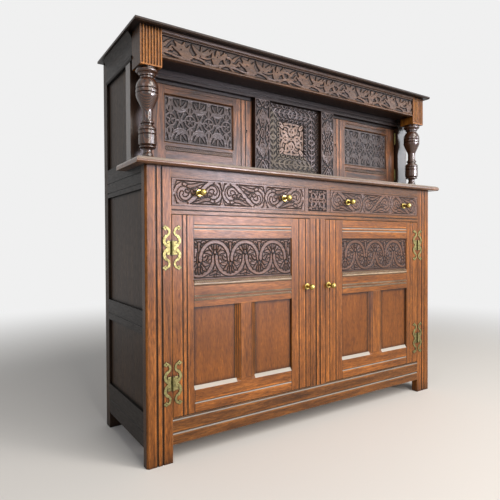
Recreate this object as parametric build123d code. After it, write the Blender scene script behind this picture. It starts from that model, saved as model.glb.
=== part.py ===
from build123d import *
import os

# Court cupboard in oak: a two-door lower cupboard with two drawers, a waist board, and a set-back
# upper cupboard under an overhanging carved frieze carried by two turned columns.
# Millimetres. X runs to the right as the front is faced, Y runs to the back, Z runs up from the floor.
# The origin is on the floor, below the middle of the whole piece.

# ------------------------------------------------------------------ driving dimensions
# lower carcase, outside
CARCASE_WIDTH = 1300.0        # over the posts
CARCASE_DEPTH = 401.0         # front of the posts to the back of the back posts
POST_WIDTH = 80.0             # front posts, across the front
POST_THICK = 27.0             # front posts, front to back
POST_CHAMFER = 6.0            # outer front corner of the front posts
BACK_POST_WIDTH = 40.0
BACK_POST_DEPTH = 38.0
SIDE_THICK = 22.0             # side rails
FRONT_THICK = 24.0            # front rails and muntin

# lower carcase, heights from the floor up
FOOT_HEIGHT = 53.0            # floor to the bottom rail
BOTTOM_RAIL_HEIGHT = 79.0
DOOR_OPENING_HEIGHT = 603.0
MIDDLE_RAIL_HEIGHT = 25.0
DRAWER_OPENING_HEIGHT = 83.0
TOP_RAIL_HEIGHT = 31.0
MUNTIN_WIDTH = 72.0           # upright between the two lower doors
DIVIDER_WIDTH = 120.0         # upright between the two drawers

# sides of the lower carcase, heights from the floor
SIDE_FOOT_HEIGHT = 55.0
SIDE_BOTTOM_RAIL = 102.0
SIDE_LOWER_PANEL = 228.0
SIDE_MIDDLE_RAIL = 69.0
SIDE_UPPER_PANEL = 353.0

# waist board
WAIST_THICK = 19.0
WAIST_FRONT_OVERHANG = 28.0
WAIST_SIDE_OVERHANG = 32.0
WAIST_RETURN_BEHIND = 2.0     # how far the side overhang runs past the upper corner post

# upper stage
UPPER_SETBACK = 136.0         # lower front to the upper doors' face
CORNER_POST_WIDTH = 60.0
CORNER_POST_THICK = 40.0
UPPER_BOTTOM_RAIL_HEIGHT = 22.0
UPPER_OPENING_HEIGHT = 247.0
UPPER_TOP_RAIL_VISIBLE = 38.0     # upper doors to the soffit
UPPER_THICK = 22.0                # front rails, muntins and door frames of the upper cupboard
UPPER_MUNTIN_INNER = 126.0        # half width of the centre opening
UPPER_MUNTIN_WIDTH = 65.0
PILASTER_PROUD = 18.0             # pilasters, corner posts and fascia, out from the doors' face
PILASTER_OVER_DOOR = 9.0          # how far the pilasters rise past the doors
UPPER_SIDE_RAIL_RISE = 10.0       # upper side bottom rail above the waist board
FRIEZE_HEIGHT = 83.0              # soffit level to the underside of the top board
FRIEZE_THICK = 14.0
FRIEZE_SETBACK = 35.0             # lower front to the frieze's face
FRIEZE_LIP_HEIGHT = 6.0
FRIEZE_LIP_PROUD = 3.0
FRIEZE_BAND_HEIGHT = 12.0
FRIEZE_BAND_PROUD = 4.0
SOFFIT_THICK = 10.0
BLOCK_SIZE = 68.0
BLOCK_SETBACK = 31.0
BLOCK_DROP = 32.0                 # column blocks below the soffit level
BLOCK_FLUTES = 7
BLOCK_FLUTE_WIDTH = 6.0
TOP_THICK = 10.0
TOP_SIDE_OVERHANG = 21.0
TOP_FRONT_SETBACK = 10.0          # lower front to the top board's front edge
SIDE_CORNICE_HEIGHT = 27.0
SIDE_CORNICE_PROUD = 14.0
SIDE_BEAD_HEIGHT = 14.0
SIDE_BEAD_PROUD = 4.0
COLUMN_BASE_R = 30.0
COLUMN_DRUM_R = 27.0
COLUMN_STEM_R = 15.7
COLUMN_BULB_R = 33.6

# lower doors
DOOR_GAP = 2.0                # all round, doors and drawer fronts
DOOR_THICK = 24.0
HINGE_STILE = 71.0            # over its moulding
LOCK_STILE = 85.0             # over its moulding
DOOR_BOTTOM_RAIL = 80.0
DOOR_MIDDLE_RAIL = 82.0
DOOR_TOP_RAIL = 68.0
DOOR_CARVED_PANEL = 128.0     # height of the carved panel's opening
DOOR_MUNTIN = 82.0            # over its mouldings
PANEL_THICK = 10.0
PANEL_RECESS = 8.0            # frame face to panel face
PANEL_TONGUE = 8.0            # how far a panel runs into its groove
PANEL_PLAY = 1.0              # free depth left in a panel groove
MUNTIN_STICKING = 21.0        # moulded edges of the door muntin
STILE_STICKING = 3.0          # moulded edges of the stiles beside the plain panels
SILL_STICKING = 11.0          # chamfer of the bottom rail below the plain panels
CARVED_RECESS = 5.0           # frame face to the carved panels' face

# upper doors
UPPER_HINGE_GAP = 5.0         # between a corner post and its door, filled by the butt hinge
UPPER_HINGE_STILE = 56.0
UPPER_LOCK_STILE = 84.0
UPPER_DOOR_BOTTOM_RAIL = 63.0
UPPER_DOOR_TOP_RAIL = 32.0
UPPER_STICKING = 5.0

# centre of the upper stage
CENTRE_PANEL_WIDTH = 120.0    # carved square, as seen inside the splayed frame
CENTRE_PANEL_HEIGHT = 124.0
CENTRE_PANEL_RISE = 7.5         # of the square above the middle of its frame
CENTRE_RECESS = 16.0          # doors' face to the carved square
CENTRE_PANEL_THICK = 10.0

# joinery
TENON_LENGTH = 28.0
TENON_THICK = 8.0
TENON_SHOULDER = 6.0

# drawers
DRAWER_FRONT_THICK = 20.0
DRAWER_SIDE_THICK = 10.0
DRAWER_SIDE_HEIGHT = 64.0
DRAWER_BOTTOM_THICK = 6.0
DRAWER_BOTTOM_RISE = 8.0
DRAWER_END_GAP = 31.0         # left behind a shut drawer
DRAWER_RUNNING_GAP = 0.3      # drawer sides above their runners
DRAWER_SIDE_GAP = 1.5         # drawer sides to the guides
RUNNER_HEIGHT = 18.0
RUNNER_WIDTH = 16.0           # runner under a drawer side
KICKER_HEIGHT = 22.0
GUIDE_HEIGHT = 40.0

# boards
FLOOR_THICK = 9.0
BACK_BOARD_THICK = 10.0
BACK_BOARDS = 5
BACK_BOARD_GAP = 1.0
BACK_RAIL_HEIGHT = 60.0
BACK_RAIL_THICK = 20.0

# cockshead hinges, brass
HINGE_UP = 636.0              # centre heights
HINGE_DOWN = 236.0
HINGE_PLATE_WIDTH = 16.5      # each leaf's plate, out from the pin
HINGE_PLATE_HEIGHT = 41.0
HINGE_PLATE_THICK = 2.0
HINGE_ARM_WIDTH = 8.6
KNUCKLE_R = 4.2
PIN_R = 2.0
PIN_CLEARANCE = 0.05
KNUCKLE_GAP = 0.3
SCREW_HOLE_R = 1.6

# butt hinges of the upper doors, brass
BUTT_HEIGHT = 50.0
BUTT_LEAF_THICK = 1.5
BUTT_LEAF_DEPTH = 18.0
BUTT_KNUCKLE_R = 2.2
BUTT_PIN_R = 1.1
BUTT_INSET = 40.0             # door end to the hinge's middle

# knobs, brass
KNOB_PROJECTION = 36.0
KNOB_ROSE_R = 11.0
KNOB_ROSE_THICK = 2.5
KNOB_NECK_R = 5.0
KNOB_BALL_R = 10.5
DOOR_KNOB_INSET = 13.0        # from the lock edge of the door
DOOR_KNOB_HEIGHT = 493.0
DRAWER_KNOB_INSET = 90.0      # from each end of the drawer front

# locks
LOCK_CASE_WIDTH = 46.0
LOCK_CASE_HEIGHT = 40.0
LOCK_CASE_THICK = 9.0
LOCK_DROP = 17.0              # keyhole below the door knob
BOLT_LENGTH = 34.0
BOLT_HEIGHT = 14.0
BOLT_THICK = 5.0
BOLT_PLAY = 0.3
BOLT_THROW = 9.0
KEYHOLE_R = 3.0
KEYHOLE_SLOT = 2.4
KEYHOLE_DROP = 9.0
KEYHOLE_INSET = 20.0          # from the lock edge
UPPER_KEYHOLE_INSET = 24.0
UPPER_KEYHOLE_RISE = 14.0     # above the middle of the upper doors' opening

# scratched mouldings
GROOVE = 5.0
FINE_GROOVE = 3.0

# ------------------------------------------------------------------ levels and planes
Z_BOTTOM_RAIL = FOOT_HEIGHT
Z_DOOR = Z_BOTTOM_RAIL + BOTTOM_RAIL_HEIGHT
Z_MIDDLE_RAIL = Z_DOOR + DOOR_OPENING_HEIGHT
Z_DRAWER = Z_MIDDLE_RAIL + MIDDLE_RAIL_HEIGHT
Z_TOP_RAIL = Z_DRAWER + DRAWER_OPENING_HEIGHT
Z_WAIST = Z_TOP_RAIL + TOP_RAIL_HEIGHT
Z_UPPER = Z_WAIST + WAIST_THICK
Z_UPPER_DOOR = Z_UPPER + UPPER_BOTTOM_RAIL_HEIGHT
Z_UPPER_DOOR_TOP = Z_UPPER_DOOR + UPPER_OPENING_HEIGHT
Z_SOFFIT = Z_UPPER_DOOR_TOP + UPPER_TOP_RAIL_VISIBLE
Z_TOP = Z_SOFFIT + FRIEZE_HEIGHT
Z_BLOCK = Z_SOFFIT - BLOCK_DROP

HALF = CARCASE_WIDTH / 2
FRONT_PROUD = max(KNOB_PROJECTION, WAIST_FRONT_OVERHANG)
FACE = (FRONT_PROUD - CARCASE_DEPTH) / 2          # front of the lower posts and doors
BACK = FACE + CARCASE_DEPTH
UPPER_FACE = FACE + UPPER_SETBACK                 # face of the upper doors
UPPER_FRONT = UPPER_FACE - PILASTER_PROUD         # face of the upper corner posts
BACK_POST_FRONT = BACK - BACK_POST_DEPTH
OPENING = HALF - POST_WIDTH                       # half width between the front posts
UPPER_OPENING = HALF - CORNER_POST_WIDTH          # half width between the upper corner posts
INSIDE = HALF - SIDE_THICK                        # half width between the side frames
MUNTIN = MUNTIN_WIDTH / 2
DIVIDER = DIVIDER_WIDTH / 2
PILASTER_OUTER = UPPER_MUNTIN_INNER + UPPER_MUNTIN_WIDTH


# ------------------------------------------------------------------ small tools
def timber(x, y, z):
    """A squared timber. Each of x, y and z is a (low, high) pair."""
    centre = Pos(sum(x) / 2, sum(y) / 2, sum(z) / 2)
    return centre * Box(abs(x[1] - x[0]), abs(y[1] - y[0]), abs(z[1] - z[0]))


def right_hand(shape):
    """The matching piece on the other side of the cupboard."""
    return mirror(shape, about=Plane.YZ)


def front_plane(y):
    """A plane that faces the viewer at depth y; its local axes are X and Z."""
    return Plane.XZ.offset(-y)


def upright_groove(x, y, z, width=GROOVE):
    """A round-bottomed groove up a face, over the height range z."""
    return Pos(x, y, sum(z) / 2) * Cylinder(width / 2, z[1] - z[0])


def level_groove(x, y, z, width=GROOVE):
    """A round-bottomed groove along a front face, over the width range x."""
    return Pos(sum(x) / 2, y, z) * Rot(0, 90, 0) * Cylinder(width / 2, abs(x[1] - x[0]))


def side_groove(x, y, z, width=GROOVE):
    """A round-bottomed groove along a side face, over the depth range y."""
    return Pos(x, sum(y) / 2, z) * Rot(90, 0, 0) * Cylinder(width / 2, y[1] - y[0])


def splay(x, z, y, deep, left, right, below, above=0.0):
    """A cutter that slopes the edges of an opening back from the face y."""
    wide_x, wide_z = (x[0] - left, x[1] + right), (z[0] - below, z[1] + above)
    layers = []
    for depth, across, up in ((y, wide_x, wide_z), (y + deep, x, z)):
        outline = Rectangle(across[1] - across[0], up[1] - up[0])
        layers.append(front_plane(depth) * Pos(sum(across) / 2, sum(up) / 2) * outline)
    return loft(layers)


def panel(x, z, y, thick):
    """A panel for the opening x by z, with its tongues, and the groove cutter that takes it."""
    grown = PANEL_TONGUE + PANEL_PLAY
    board = timber((x[0] - PANEL_TONGUE, x[1] + PANEL_TONGUE), (y, y + thick),
                   (z[0] - PANEL_TONGUE, z[1] + PANEL_TONGUE))
    groove = timber((x[0] - grown, x[1] + grown), (y, y + thick), (z[0] - grown, z[1] + grown))
    return board, groove


def keyhole(x, y, z, depth):
    """A keyhole cutter: a round eye with a slot below it."""
    eye = Pos(x, y + depth / 2, z) * Rot(90, 0, 0) * Cylinder(KEYHOLE_R, depth)
    slot = timber((x - KEYHOLE_SLOT / 2, x + KEYHOLE_SLOT / 2), (y, y + depth), (z - KEYHOLE_DROP, z))
    return eye + slot


def save(name, *shapes):
    """One node: every solid of the shapes given."""
    solids = [solid for shape in shapes for solid in shape.solids()]
    export_step(Compound(children=solids), f"parts/{name}.step")


# ------------------------------------------------------------------ lower carcase: front
def front_tenon(x, z, y=FACE):
    """A tenon on the end of a front rail; x is its run into the post."""
    return timber(x, (y + TENON_THICK, y + 2 * TENON_THICK), (z[0] + TENON_SHOULDER, z[1] - TENON_SHOULDER))


def front_rail(z):
    """A rail across the whole front with a tenon at each end."""
    body = timber((-OPENING, OPENING), (FACE, FACE + FRONT_THICK), z)
    left = front_tenon((-OPENING - TENON_LENGTH, -OPENING), z)
    return body + left + right_hand(left)


BOTTOM_RAIL_Z = (Z_BOTTOM_RAIL, Z_DOOR)
MIDDLE_RAIL_Z = (Z_MIDDLE_RAIL, Z_DRAWER)
TOP_RAIL_Z = (Z_TOP_RAIL, Z_WAIST)
BOTTOM_RAIL_GROOVE = 33.0         # up from the rail's lower edge


def bottom_front_rail():
    rail = front_rail(BOTTOM_RAIL_Z)
    rail -= level_groove((-OPENING, OPENING), FACE, Z_BOTTOM_RAIL + BOTTOM_RAIL_GROOVE)
    return rail - level_groove((-OPENING, OPENING), FACE, Z_DOOR - GROOVE, FINE_GROOVE) - muntin_tenons()


def middle_front_rail():
    rail = front_rail(MIDDLE_RAIL_Z)
    rail -= level_groove((-OPENING, OPENING), FACE, sum(MIDDLE_RAIL_Z) / 2, FINE_GROOVE)
    return rail - muntin_tenons() - divider_tenons()


def top_front_rail():
    return front_rail(TOP_RAIL_Z) - divider_tenons()


STUB = 10.0                       # tenons of the short uprights


def muntin_tenons():
    y = (FACE + TENON_THICK, FACE + 2 * TENON_THICK)
    x = (-MUNTIN + TENON_SHOULDER, MUNTIN - TENON_SHOULDER)
    return timber(x, y, (Z_DOOR - STUB, Z_DOOR)) + timber(x, y, (Z_MIDDLE_RAIL, Z_MIDDLE_RAIL + STUB))


def divider_tenons():
    y = (FACE + TENON_THICK, FACE + 2 * TENON_THICK)
    x = (-DIVIDER + TENON_SHOULDER, DIVIDER - TENON_SHOULDER)
    return timber(x, y, (Z_DRAWER - STUB, Z_DRAWER)) + timber(x, y, (Z_TOP_RAIL, Z_TOP_RAIL + STUB))


MUNTIN_GROOVES = 9.5              # each side of the middle
LOWER_KEY_Z = DOOR_KNOB_HEIGHT - LOCK_DROP
BOLT_DEPTH = DOOR_THICK - LOCK_CASE_THICK / 2     # door face to the middle of the bolt
UPPER_KEY_Z = Z_UPPER_DOOR + UPPER_OPENING_HEIGHT / 2 + UPPER_KEYHOLE_RISE


def bolt_mortise(x, y, z):
    """The hole that takes a thrown bolt."""
    across = BOLT_THICK / 2 + BOLT_PLAY
    up = BOLT_HEIGHT / 2 + BOLT_PLAY
    return timber(x, (y - across, y + across), (z - up, z + up))


def door_muntin():
    z = (Z_DOOR, Z_MIDDLE_RAIL)
    upright = timber((-MUNTIN, MUNTIN), (FACE, FACE + FRONT_THICK), z) + muntin_tenons()
    for side in (-1, 1):
        upright -= upright_groove(side * MUNTIN_GROOVES, FACE, z)
        mouth = (side * MUNTIN, side * (MUNTIN - BOLT_THROW - DOOR_GAP))
        upright -= bolt_mortise((min(mouth), max(mouth)), FACE + BOLT_DEPTH, LOWER_KEY_Z)
    return upright


def drawer_divider():
    z = (Z_DRAWER, Z_TOP_RAIL)
    return timber((-DIVIDER, DIVIDER), (FACE, FACE + FRONT_THICK), z) + divider_tenons()


POST_GROOVES = (33.0, 50.0)       # in from the outer edge


def front_post():
    """Left front post: flat, chamfered on its outer corner and scratch-moulded up the face."""
    x = (-HALF, -OPENING)
    post = timber(x, (FACE, FACE + POST_THICK), (0, Z_WAIST))
    corner = post.edges().filter_by(Axis.Z).sort_by(lambda e: e.center().X + e.center().Y)[0]
    post = chamfer(corner, POST_CHAMFER)
    for inset in POST_GROOVES:
        post -= upright_groove(-HALF + inset, FACE, (0, Z_WAIST))
    for z in (BOTTOM_RAIL_Z, MIDDLE_RAIL_Z, TOP_RAIL_Z):
        post -= front_tenon((-OPENING - TENON_LENGTH, -OPENING), z)
    for groove in side_panel_boards()[1]:
        post -= groove
    return post - side_tenons()


# ------------------------------------------------------------------ lower carcase: sides
Z_SIDE_PANEL = SIDE_FOOT_HEIGHT + SIDE_BOTTOM_RAIL
Z_SIDE_MIDDLE = Z_SIDE_PANEL + SIDE_LOWER_PANEL
Z_SIDE_UPPER_PANEL = Z_SIDE_MIDDLE + SIDE_MIDDLE_RAIL
Z_SIDE_TOP = Z_SIDE_UPPER_PANEL + SIDE_UPPER_PANEL
SIDE_RAILS = ((SIDE_FOOT_HEIGHT, Z_SIDE_PANEL), (Z_SIDE_MIDDLE, Z_SIDE_UPPER_PANEL), (Z_SIDE_TOP, Z_WAIST))
SIDE_GROOVES = ((47.0,), (22.0,), (15.0, 48.0))   # up from each rail's lower edge
SIDE_Y = (FACE + POST_THICK, BACK_POST_FRONT)
SIDE_TENON = 14.0


def side_tenons():
    """Tenons at both ends of the left side rails, as one cutter."""
    x = (-HALF + TENON_THICK, -HALF + 2 * TENON_THICK)
    y = (SIDE_Y[0] - SIDE_TENON, SIDE_Y[1] + SIDE_TENON)
    tenons = [timber(x, y, (z[0] + TENON_SHOULDER, z[1] - TENON_SHOULDER)) for z in SIDE_RAILS]
    return tenons[0] + tenons[1] + tenons[2]


def side_panel_boards():
    """The two panels of the left side, and their groove cutters."""
    boards, grooves = [], []
    for low, high in ((Z_SIDE_PANEL, Z_SIDE_MIDDLE), (Z_SIDE_UPPER_PANEL, Z_SIDE_TOP)):
        x = (-HALF + PANEL_RECESS, -HALF + PANEL_RECESS + PANEL_THICK)
        for grown, made in ((PANEL_TONGUE, boards), (PANEL_TONGUE + PANEL_PLAY, grooves)):
            made.append(timber(x, (SIDE_Y[0] - grown, SIDE_Y[1] + grown), (low - grown, high + grown)))
    return boards, grooves


def side_rails():
    """The three rails of the left side."""
    rails = []
    grooves = side_panel_boards()[1]
    for (low, high), lines in zip(SIDE_RAILS, SIDE_GROOVES):
        rail = timber((-HALF, -INSIDE), SIDE_Y, (low, high))
        tenon = timber((-HALF + TENON_THICK, -HALF + 2 * TENON_THICK),
                       (SIDE_Y[0] - SIDE_TENON, SIDE_Y[1] + SIDE_TENON),
                       (low + TENON_SHOULDER, high - TENON_SHOULDER))
        rail = rail + tenon
        for line in lines:
            rail -= side_groove(-HALF, SIDE_Y, low + line, FINE_GROOVE)
        for groove in grooves:
            rail -= groove
        rails.append(rail)
    return rails


# ------------------------------------------------------------------ back
BACK_RAIL_Y = (BACK - BACK_BOARD_THICK - BACK_RAIL_THICK, BACK - BACK_BOARD_THICK)
BACK_INSIDE = HALF - BACK_POST_WIDTH
BACK_RAILS = ((FOOT_HEIGHT, FOOT_HEIGHT + BACK_RAIL_HEIGHT),
              (Z_WAIST - BACK_RAIL_HEIGHT, Z_WAIST),
              (Z_TOP - BACK_RAIL_HEIGHT, Z_TOP))


def back_post():
    """Left back post, one timber from the floor to the top board."""
    post = timber((-HALF, -BACK_INSIDE), (BACK_POST_FRONT, BACK), (0, Z_TOP))
    post -= side_tenons()
    for groove in side_panel_boards()[1] + upper_side_panel_boards()[1]:
        post -= groove
    return post - side_frieze_tenon() - upper_side_rail_tenon()


def back_rails():
    return [timber((-BACK_INSIDE, BACK_INSIDE), BACK_RAIL_Y, z) for z in BACK_RAILS]


def back_boards(z):
    """Upright boards side by side between the back posts."""
    pitch = 2 * BACK_INSIDE / BACK_BOARDS
    y = (BACK - BACK_BOARD_THICK, BACK)
    boards = []
    for n in range(BACK_BOARDS):
        low = -BACK_INSIDE + n * pitch
        start = low if n == 0 else low + BACK_BOARD_GAP / 2
        end = low + pitch if n == BACK_BOARDS - 1 else low + pitch - BACK_BOARD_GAP / 2
        boards.append(timber((start, end), y, z))
    return boards


# ------------------------------------------------------------------ inside the lower carcase
def cupboard_floor():
    y = (FACE + FRONT_THICK, BACK_RAIL_Y[0])
    return timber((-INSIDE, INSIDE), y, (Z_DOOR - FLOOR_THICK, Z_DOOR)) - corner_notches()


def corner_notches():
    """The front posts' and back posts' inner corners, cut out of boards that pass them."""
    left = timber((-HALF, -OPENING), (FACE, FACE + POST_THICK), (0, Z_TOP))
    left += timber((-HALF, -BACK_INSIDE), (BACK_POST_FRONT, BACK), (0, Z_TOP))
    return left + right_hand(left)


def drawer_carriage():
    """Runners below, guides beside and kickers above the drawers."""
    y = (FACE + FRONT_THICK, BACK_RAIL_Y[0])
    below = (Z_DRAWER - RUNNER_HEIGHT, Z_DRAWER)
    beside = (Z_DRAWER, Z_DRAWER + GUIDE_HEIGHT)
    above = (Z_WAIST - KICKER_HEIGHT, Z_WAIST)
    outer = (-INSIDE, -OPENING + DOOR_GAP + RUNNER_WIDTH)
    inner = DIVIDER + DOOR_GAP + RUNNER_WIDTH
    guide_outer = (-INSIDE, -OPENING + DOOR_GAP - DRAWER_SIDE_GAP)
    guide_inner = DIVIDER + DOOR_GAP - DRAWER_SIDE_GAP
    notches = corner_notches()
    strips = [timber((-inner, inner), y, below), timber((-guide_inner, guide_inner), y, beside),
              timber((-inner, inner), y, above)]
    for x, z in ((outer, below), (guide_outer, beside), (outer, above)):
        strip = timber(x, y, z) - notches
        strips += [strip, right_hand(strip)]
    return strips


# ------------------------------------------------------------------ waist board
def waist_board():
    """Moulded board over the lower carcase. Its overhang returns just past the upper corner posts."""
    front = FACE - WAIST_FRONT_OVERHANG
    side = HALF + WAIST_SIDE_OVERHANG
    turn = UPPER_FRONT + CORNER_POST_THICK + WAIST_RETURN_BEHIND
    z = (Z_WAIST, Z_UPPER)
    wide = timber((-side, side), (front, turn), z)
    top_front = wide.faces().sort_by(Axis.Y)[0].edges().sort_by(Axis.Z)[-1]
    ends = wide.edges().filter_by(Axis.Y).group_by(Axis.Z)[-1]
    wide = fillet([top_front, *ends], WAIST_THICK * 0.62)
    under = wide.edges().group_by(Axis.Z)[0].filter_by_position(Axis.Y, front - 1, front + 1)
    wide = chamfer(under, WAIST_THICK * 0.25)
    rear = timber((-INSIDE, INSIDE), (turn, BACK_RAIL_Y[0]), z) - corner_notches()
    return wide + rear


# ------------------------------------------------------------------ upper stage: frame
UPPER_SIDE_Y = (UPPER_FRONT + CORNER_POST_THICK, BACK_POST_FRONT)
UPPER_SIDE_RAIL_Z = (Z_WAIST, Z_UPPER + UPPER_SIDE_RAIL_RISE)
UPPER_TENON = 12.0


def upper_side_panel_boards():
    """The panel of the upper left side, and its groove cutter."""
    x = (-HALF + PANEL_RECESS, -HALF + PANEL_RECESS + PANEL_THICK)
    made = []
    for grown in (PANEL_TONGUE, PANEL_TONGUE + PANEL_PLAY):
        y = (UPPER_SIDE_Y[0] - grown, UPPER_SIDE_Y[1] + grown)
        made.append(timber(x, y, (UPPER_SIDE_RAIL_Z[1] - grown, Z_SOFFIT + grown)))
    return [made[0]], [made[1]]


def side_frieze_tenon():
    """Tenon at the back end of the left side frieze."""
    x = (-HALF + TENON_THICK, -HALF + 2 * TENON_THICK)
    y = (BACK_POST_FRONT, BACK_POST_FRONT + UPPER_TENON)
    return timber(x, y, (Z_SOFFIT + TENON_SHOULDER, Z_TOP - TENON_SHOULDER))


def upper_side_rail_tenon():
    """Tenons at the ends of the left bottom rail of the upper side."""
    x = (-HALF + TENON_THICK, -HALF + 2 * TENON_THICK)
    y = (UPPER_SIDE_Y[1], UPPER_SIDE_Y[1] + UPPER_TENON)
    return timber(x, y, (Z_WAIST + TENON_SHOULDER, UPPER_SIDE_RAIL_Z[1] - TENON_SHOULDER))


def upper_side_rail():
    """Left bottom rail of the upper side, behind the waist board's return."""
    low = UPPER_SIDE_Y[0] + WAIST_RETURN_BEHIND
    rail = timber((-HALF, -INSIDE), (low, UPPER_SIDE_Y[1]), UPPER_SIDE_RAIL_Z) + upper_side_rail_tenon()
    return rail - upper_side_panel_boards()[1][0]


def corner_post():
    """Left corner post of the upper cupboard, from the waist board to the top."""
    y = (UPPER_FRONT, UPPER_FRONT + CORNER_POST_THICK)
    post = timber((-HALF, -UPPER_OPENING), y, (Z_UPPER, Z_TOP))
    post -= upper_side_panel_boards()[1][0]
    for z in (UPPER_BOTTOM_Z, UPPER_TOP_Z):
        post -= upper_tenon(z)
    return post - timber((-HALF, -INSIDE), y, (Z_SOFFIT, Z_TOP))


UPPER_BOTTOM_Z = (Z_UPPER, Z_UPPER_DOOR)
UPPER_TOP_Z = (Z_UPPER_DOOR_TOP, Z_TOP)
UPPER_Y = (UPPER_FACE, UPPER_FACE + UPPER_THICK)
UPPER_TENON_THICK = 7.0
UPPER_RAIL_LINE = 21.0            # moulding line above the doors


def upper_tenon(z):
    """Left tenon of an upper front rail."""
    y = (UPPER_FACE + UPPER_TENON_THICK, UPPER_FACE + 2 * UPPER_TENON_THICK)
    x = (-UPPER_OPENING - UPPER_TENON, -UPPER_OPENING)
    return timber(x, y, (z[0] + TENON_SHOULDER, z[1] - TENON_SHOULDER))


def upper_muntin_tenons():
    """Stub tenons of the left upright between the upper front rails."""
    y = (UPPER_FACE + UPPER_TENON_THICK, UPPER_FACE + 2 * UPPER_TENON_THICK)
    x = (-PILASTER_OUTER + TENON_SHOULDER, -UPPER_MUNTIN_INNER - TENON_SHOULDER)
    low = timber(x, y, (Z_UPPER_DOOR - STUB, Z_UPPER_DOOR))
    return low + timber(x, y, (Z_UPPER_DOOR_TOP, Z_UPPER_DOOR_TOP + STUB))


def upper_front_frame():
    """Bottom rail, top rail and the two uprights of the upper cupboard's front."""
    uprights = upper_muntin_tenons() + right_hand(upper_muntin_tenons())
    rails = []
    for z in (UPPER_BOTTOM_Z, UPPER_TOP_Z):
        left = upper_tenon(z)
        rail = timber((-UPPER_OPENING, UPPER_OPENING), UPPER_Y, z) + left + right_hand(left)
        rails.append(rail - uprights)
    across = (-UPPER_OPENING, UPPER_OPENING)
    rails[1] -= timber((-UPPER_MUNTIN_INNER, UPPER_MUNTIN_INNER), UPPER_Y, (Z_UPPER_DOOR_TOP, CENTRE_Z[1]))
    rails[1] += timber(across, (UPPER_FRONT, UPPER_FACE), (CENTRE_Z[1], Z_TOP))
    rails[1] -= level_groove(across, UPPER_FRONT, Z_UPPER_DOOR_TOP + UPPER_RAIL_LINE)
    left = timber((-PILASTER_OUTER, -UPPER_MUNTIN_INNER), UPPER_Y, (Z_UPPER_DOOR, Z_UPPER_DOOR_TOP))
    left += upper_muntin_tenons()
    mouth = (-PILASTER_OUTER, -PILASTER_OUTER + BOLT_THROW + DOOR_GAP)
    left -= bolt_mortise(mouth, UPPER_FACE + UPPER_BOLT_DEPTH, UPPER_KEY_Z)
    return [*rails, left, right_hand(left)]


UPPER_BOLT_DEPTH = UPPER_THICK - LOCK_CASE_THICK / 2


def pilaster():
    """Left pilaster: a board on the face of the upright, carved on its front."""
    z = (Z_UPPER, Z_UPPER_DOOR_TOP + PILASTER_OVER_DOOR)
    return timber((-PILASTER_OUTER, -UPPER_MUNTIN_INNER), (UPPER_FRONT, UPPER_FACE), z)


CENTRE_Z = (Z_UPPER_DOOR, Z_UPPER_DOOR_TOP + PILASTER_OVER_DOOR)
FRAME_MIDDLE = sum(CENTRE_Z) / 2
CENTRE_MIDDLE = FRAME_MIDDLE + CENTRE_PANEL_RISE
CENTRE_PANEL_FACE = UPPER_FACE + CENTRE_RECESS
FRAME_EDGE = 2.0                  # flat edge round the splay


def centre_seat():
    """Half width and half height of the carved square with its tongues."""
    return CENTRE_PANEL_WIDTH / 2 + PANEL_TONGUE, CENTRE_PANEL_HEIGHT / 2 + PANEL_TONGUE


def centre_frame():
    """Splayed frame round the carved square, four boards mitred at the corners."""
    half_x, half_z = CENTRE_PANEL_WIDTH / 2, CENTRE_PANEL_HEIGHT / 2
    up = CENTRE_Z[1] - CENTRE_Z[0]
    deep = CENTRE_PANEL_FACE + CENTRE_PANEL_THICK
    whole = timber((-UPPER_MUNTIN_INNER, UPPER_MUNTIN_INNER), (UPPER_FACE, deep), CENTRE_Z)
    outer_edge = Rectangle(2 * (UPPER_MUNTIN_INNER - FRAME_EDGE), up - 2 * FRAME_EDGE)
    mouth = front_plane(UPPER_FACE) * Pos(0, FRAME_MIDDLE) * outer_edge
    throat = front_plane(CENTRE_PANEL_FACE) * Pos(0, CENTRE_MIDDLE) * Rectangle(2 * half_x, 2 * half_z)
    whole -= loft([mouth, throat])
    seat_x, seat_z = centre_seat()
    whole -= timber((-seat_x, seat_x), (CENTRE_PANEL_FACE, deep), (CENTRE_MIDDLE - seat_z, CENTRE_MIDDLE + seat_z))
    boards = []
    corner = (UPPER_MUNTIN_INNER, up / 2)
    for points in (((-1, 1), (1, 1)), ((-1, -1), (1, -1)), ((-1, 1), (-1, -1)), ((1, 1), (1, -1))):
        outer = [(corner[0] * px, FRAME_MIDDLE + corner[1] * pz) for px, pz in points]
        inner = [(half_x * px, CENTRE_MIDDLE + half_z * pz) for px, pz in reversed(points)]
        with BuildSketch() as wedge:
            with BuildLine():
                Polyline(*outer, *inner, close=True)
            make_face()
        cutter = extrude(front_plane(deep) * wedge.sketch, deep - UPPER_FACE)
        boards.append(whole & cutter)
    return boards


def centre_panel():
    seat_x, seat_z = centre_seat()
    y = (CENTRE_PANEL_FACE, CENTRE_PANEL_FACE + CENTRE_PANEL_THICK)
    return timber((-seat_x, seat_x), y, (CENTRE_MIDDLE - seat_z, CENTRE_MIDDLE + seat_z))


# ------------------------------------------------------------------ upper stage: frieze, blocks, columns, top
COLUMN_X = -HALF + BLOCK_SIZE / 2
COLUMN_Y = FACE + BLOCK_SETBACK + BLOCK_SIZE / 2
DOWEL_R = 9.0
DOWEL_LENGTH = 14.0


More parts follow.
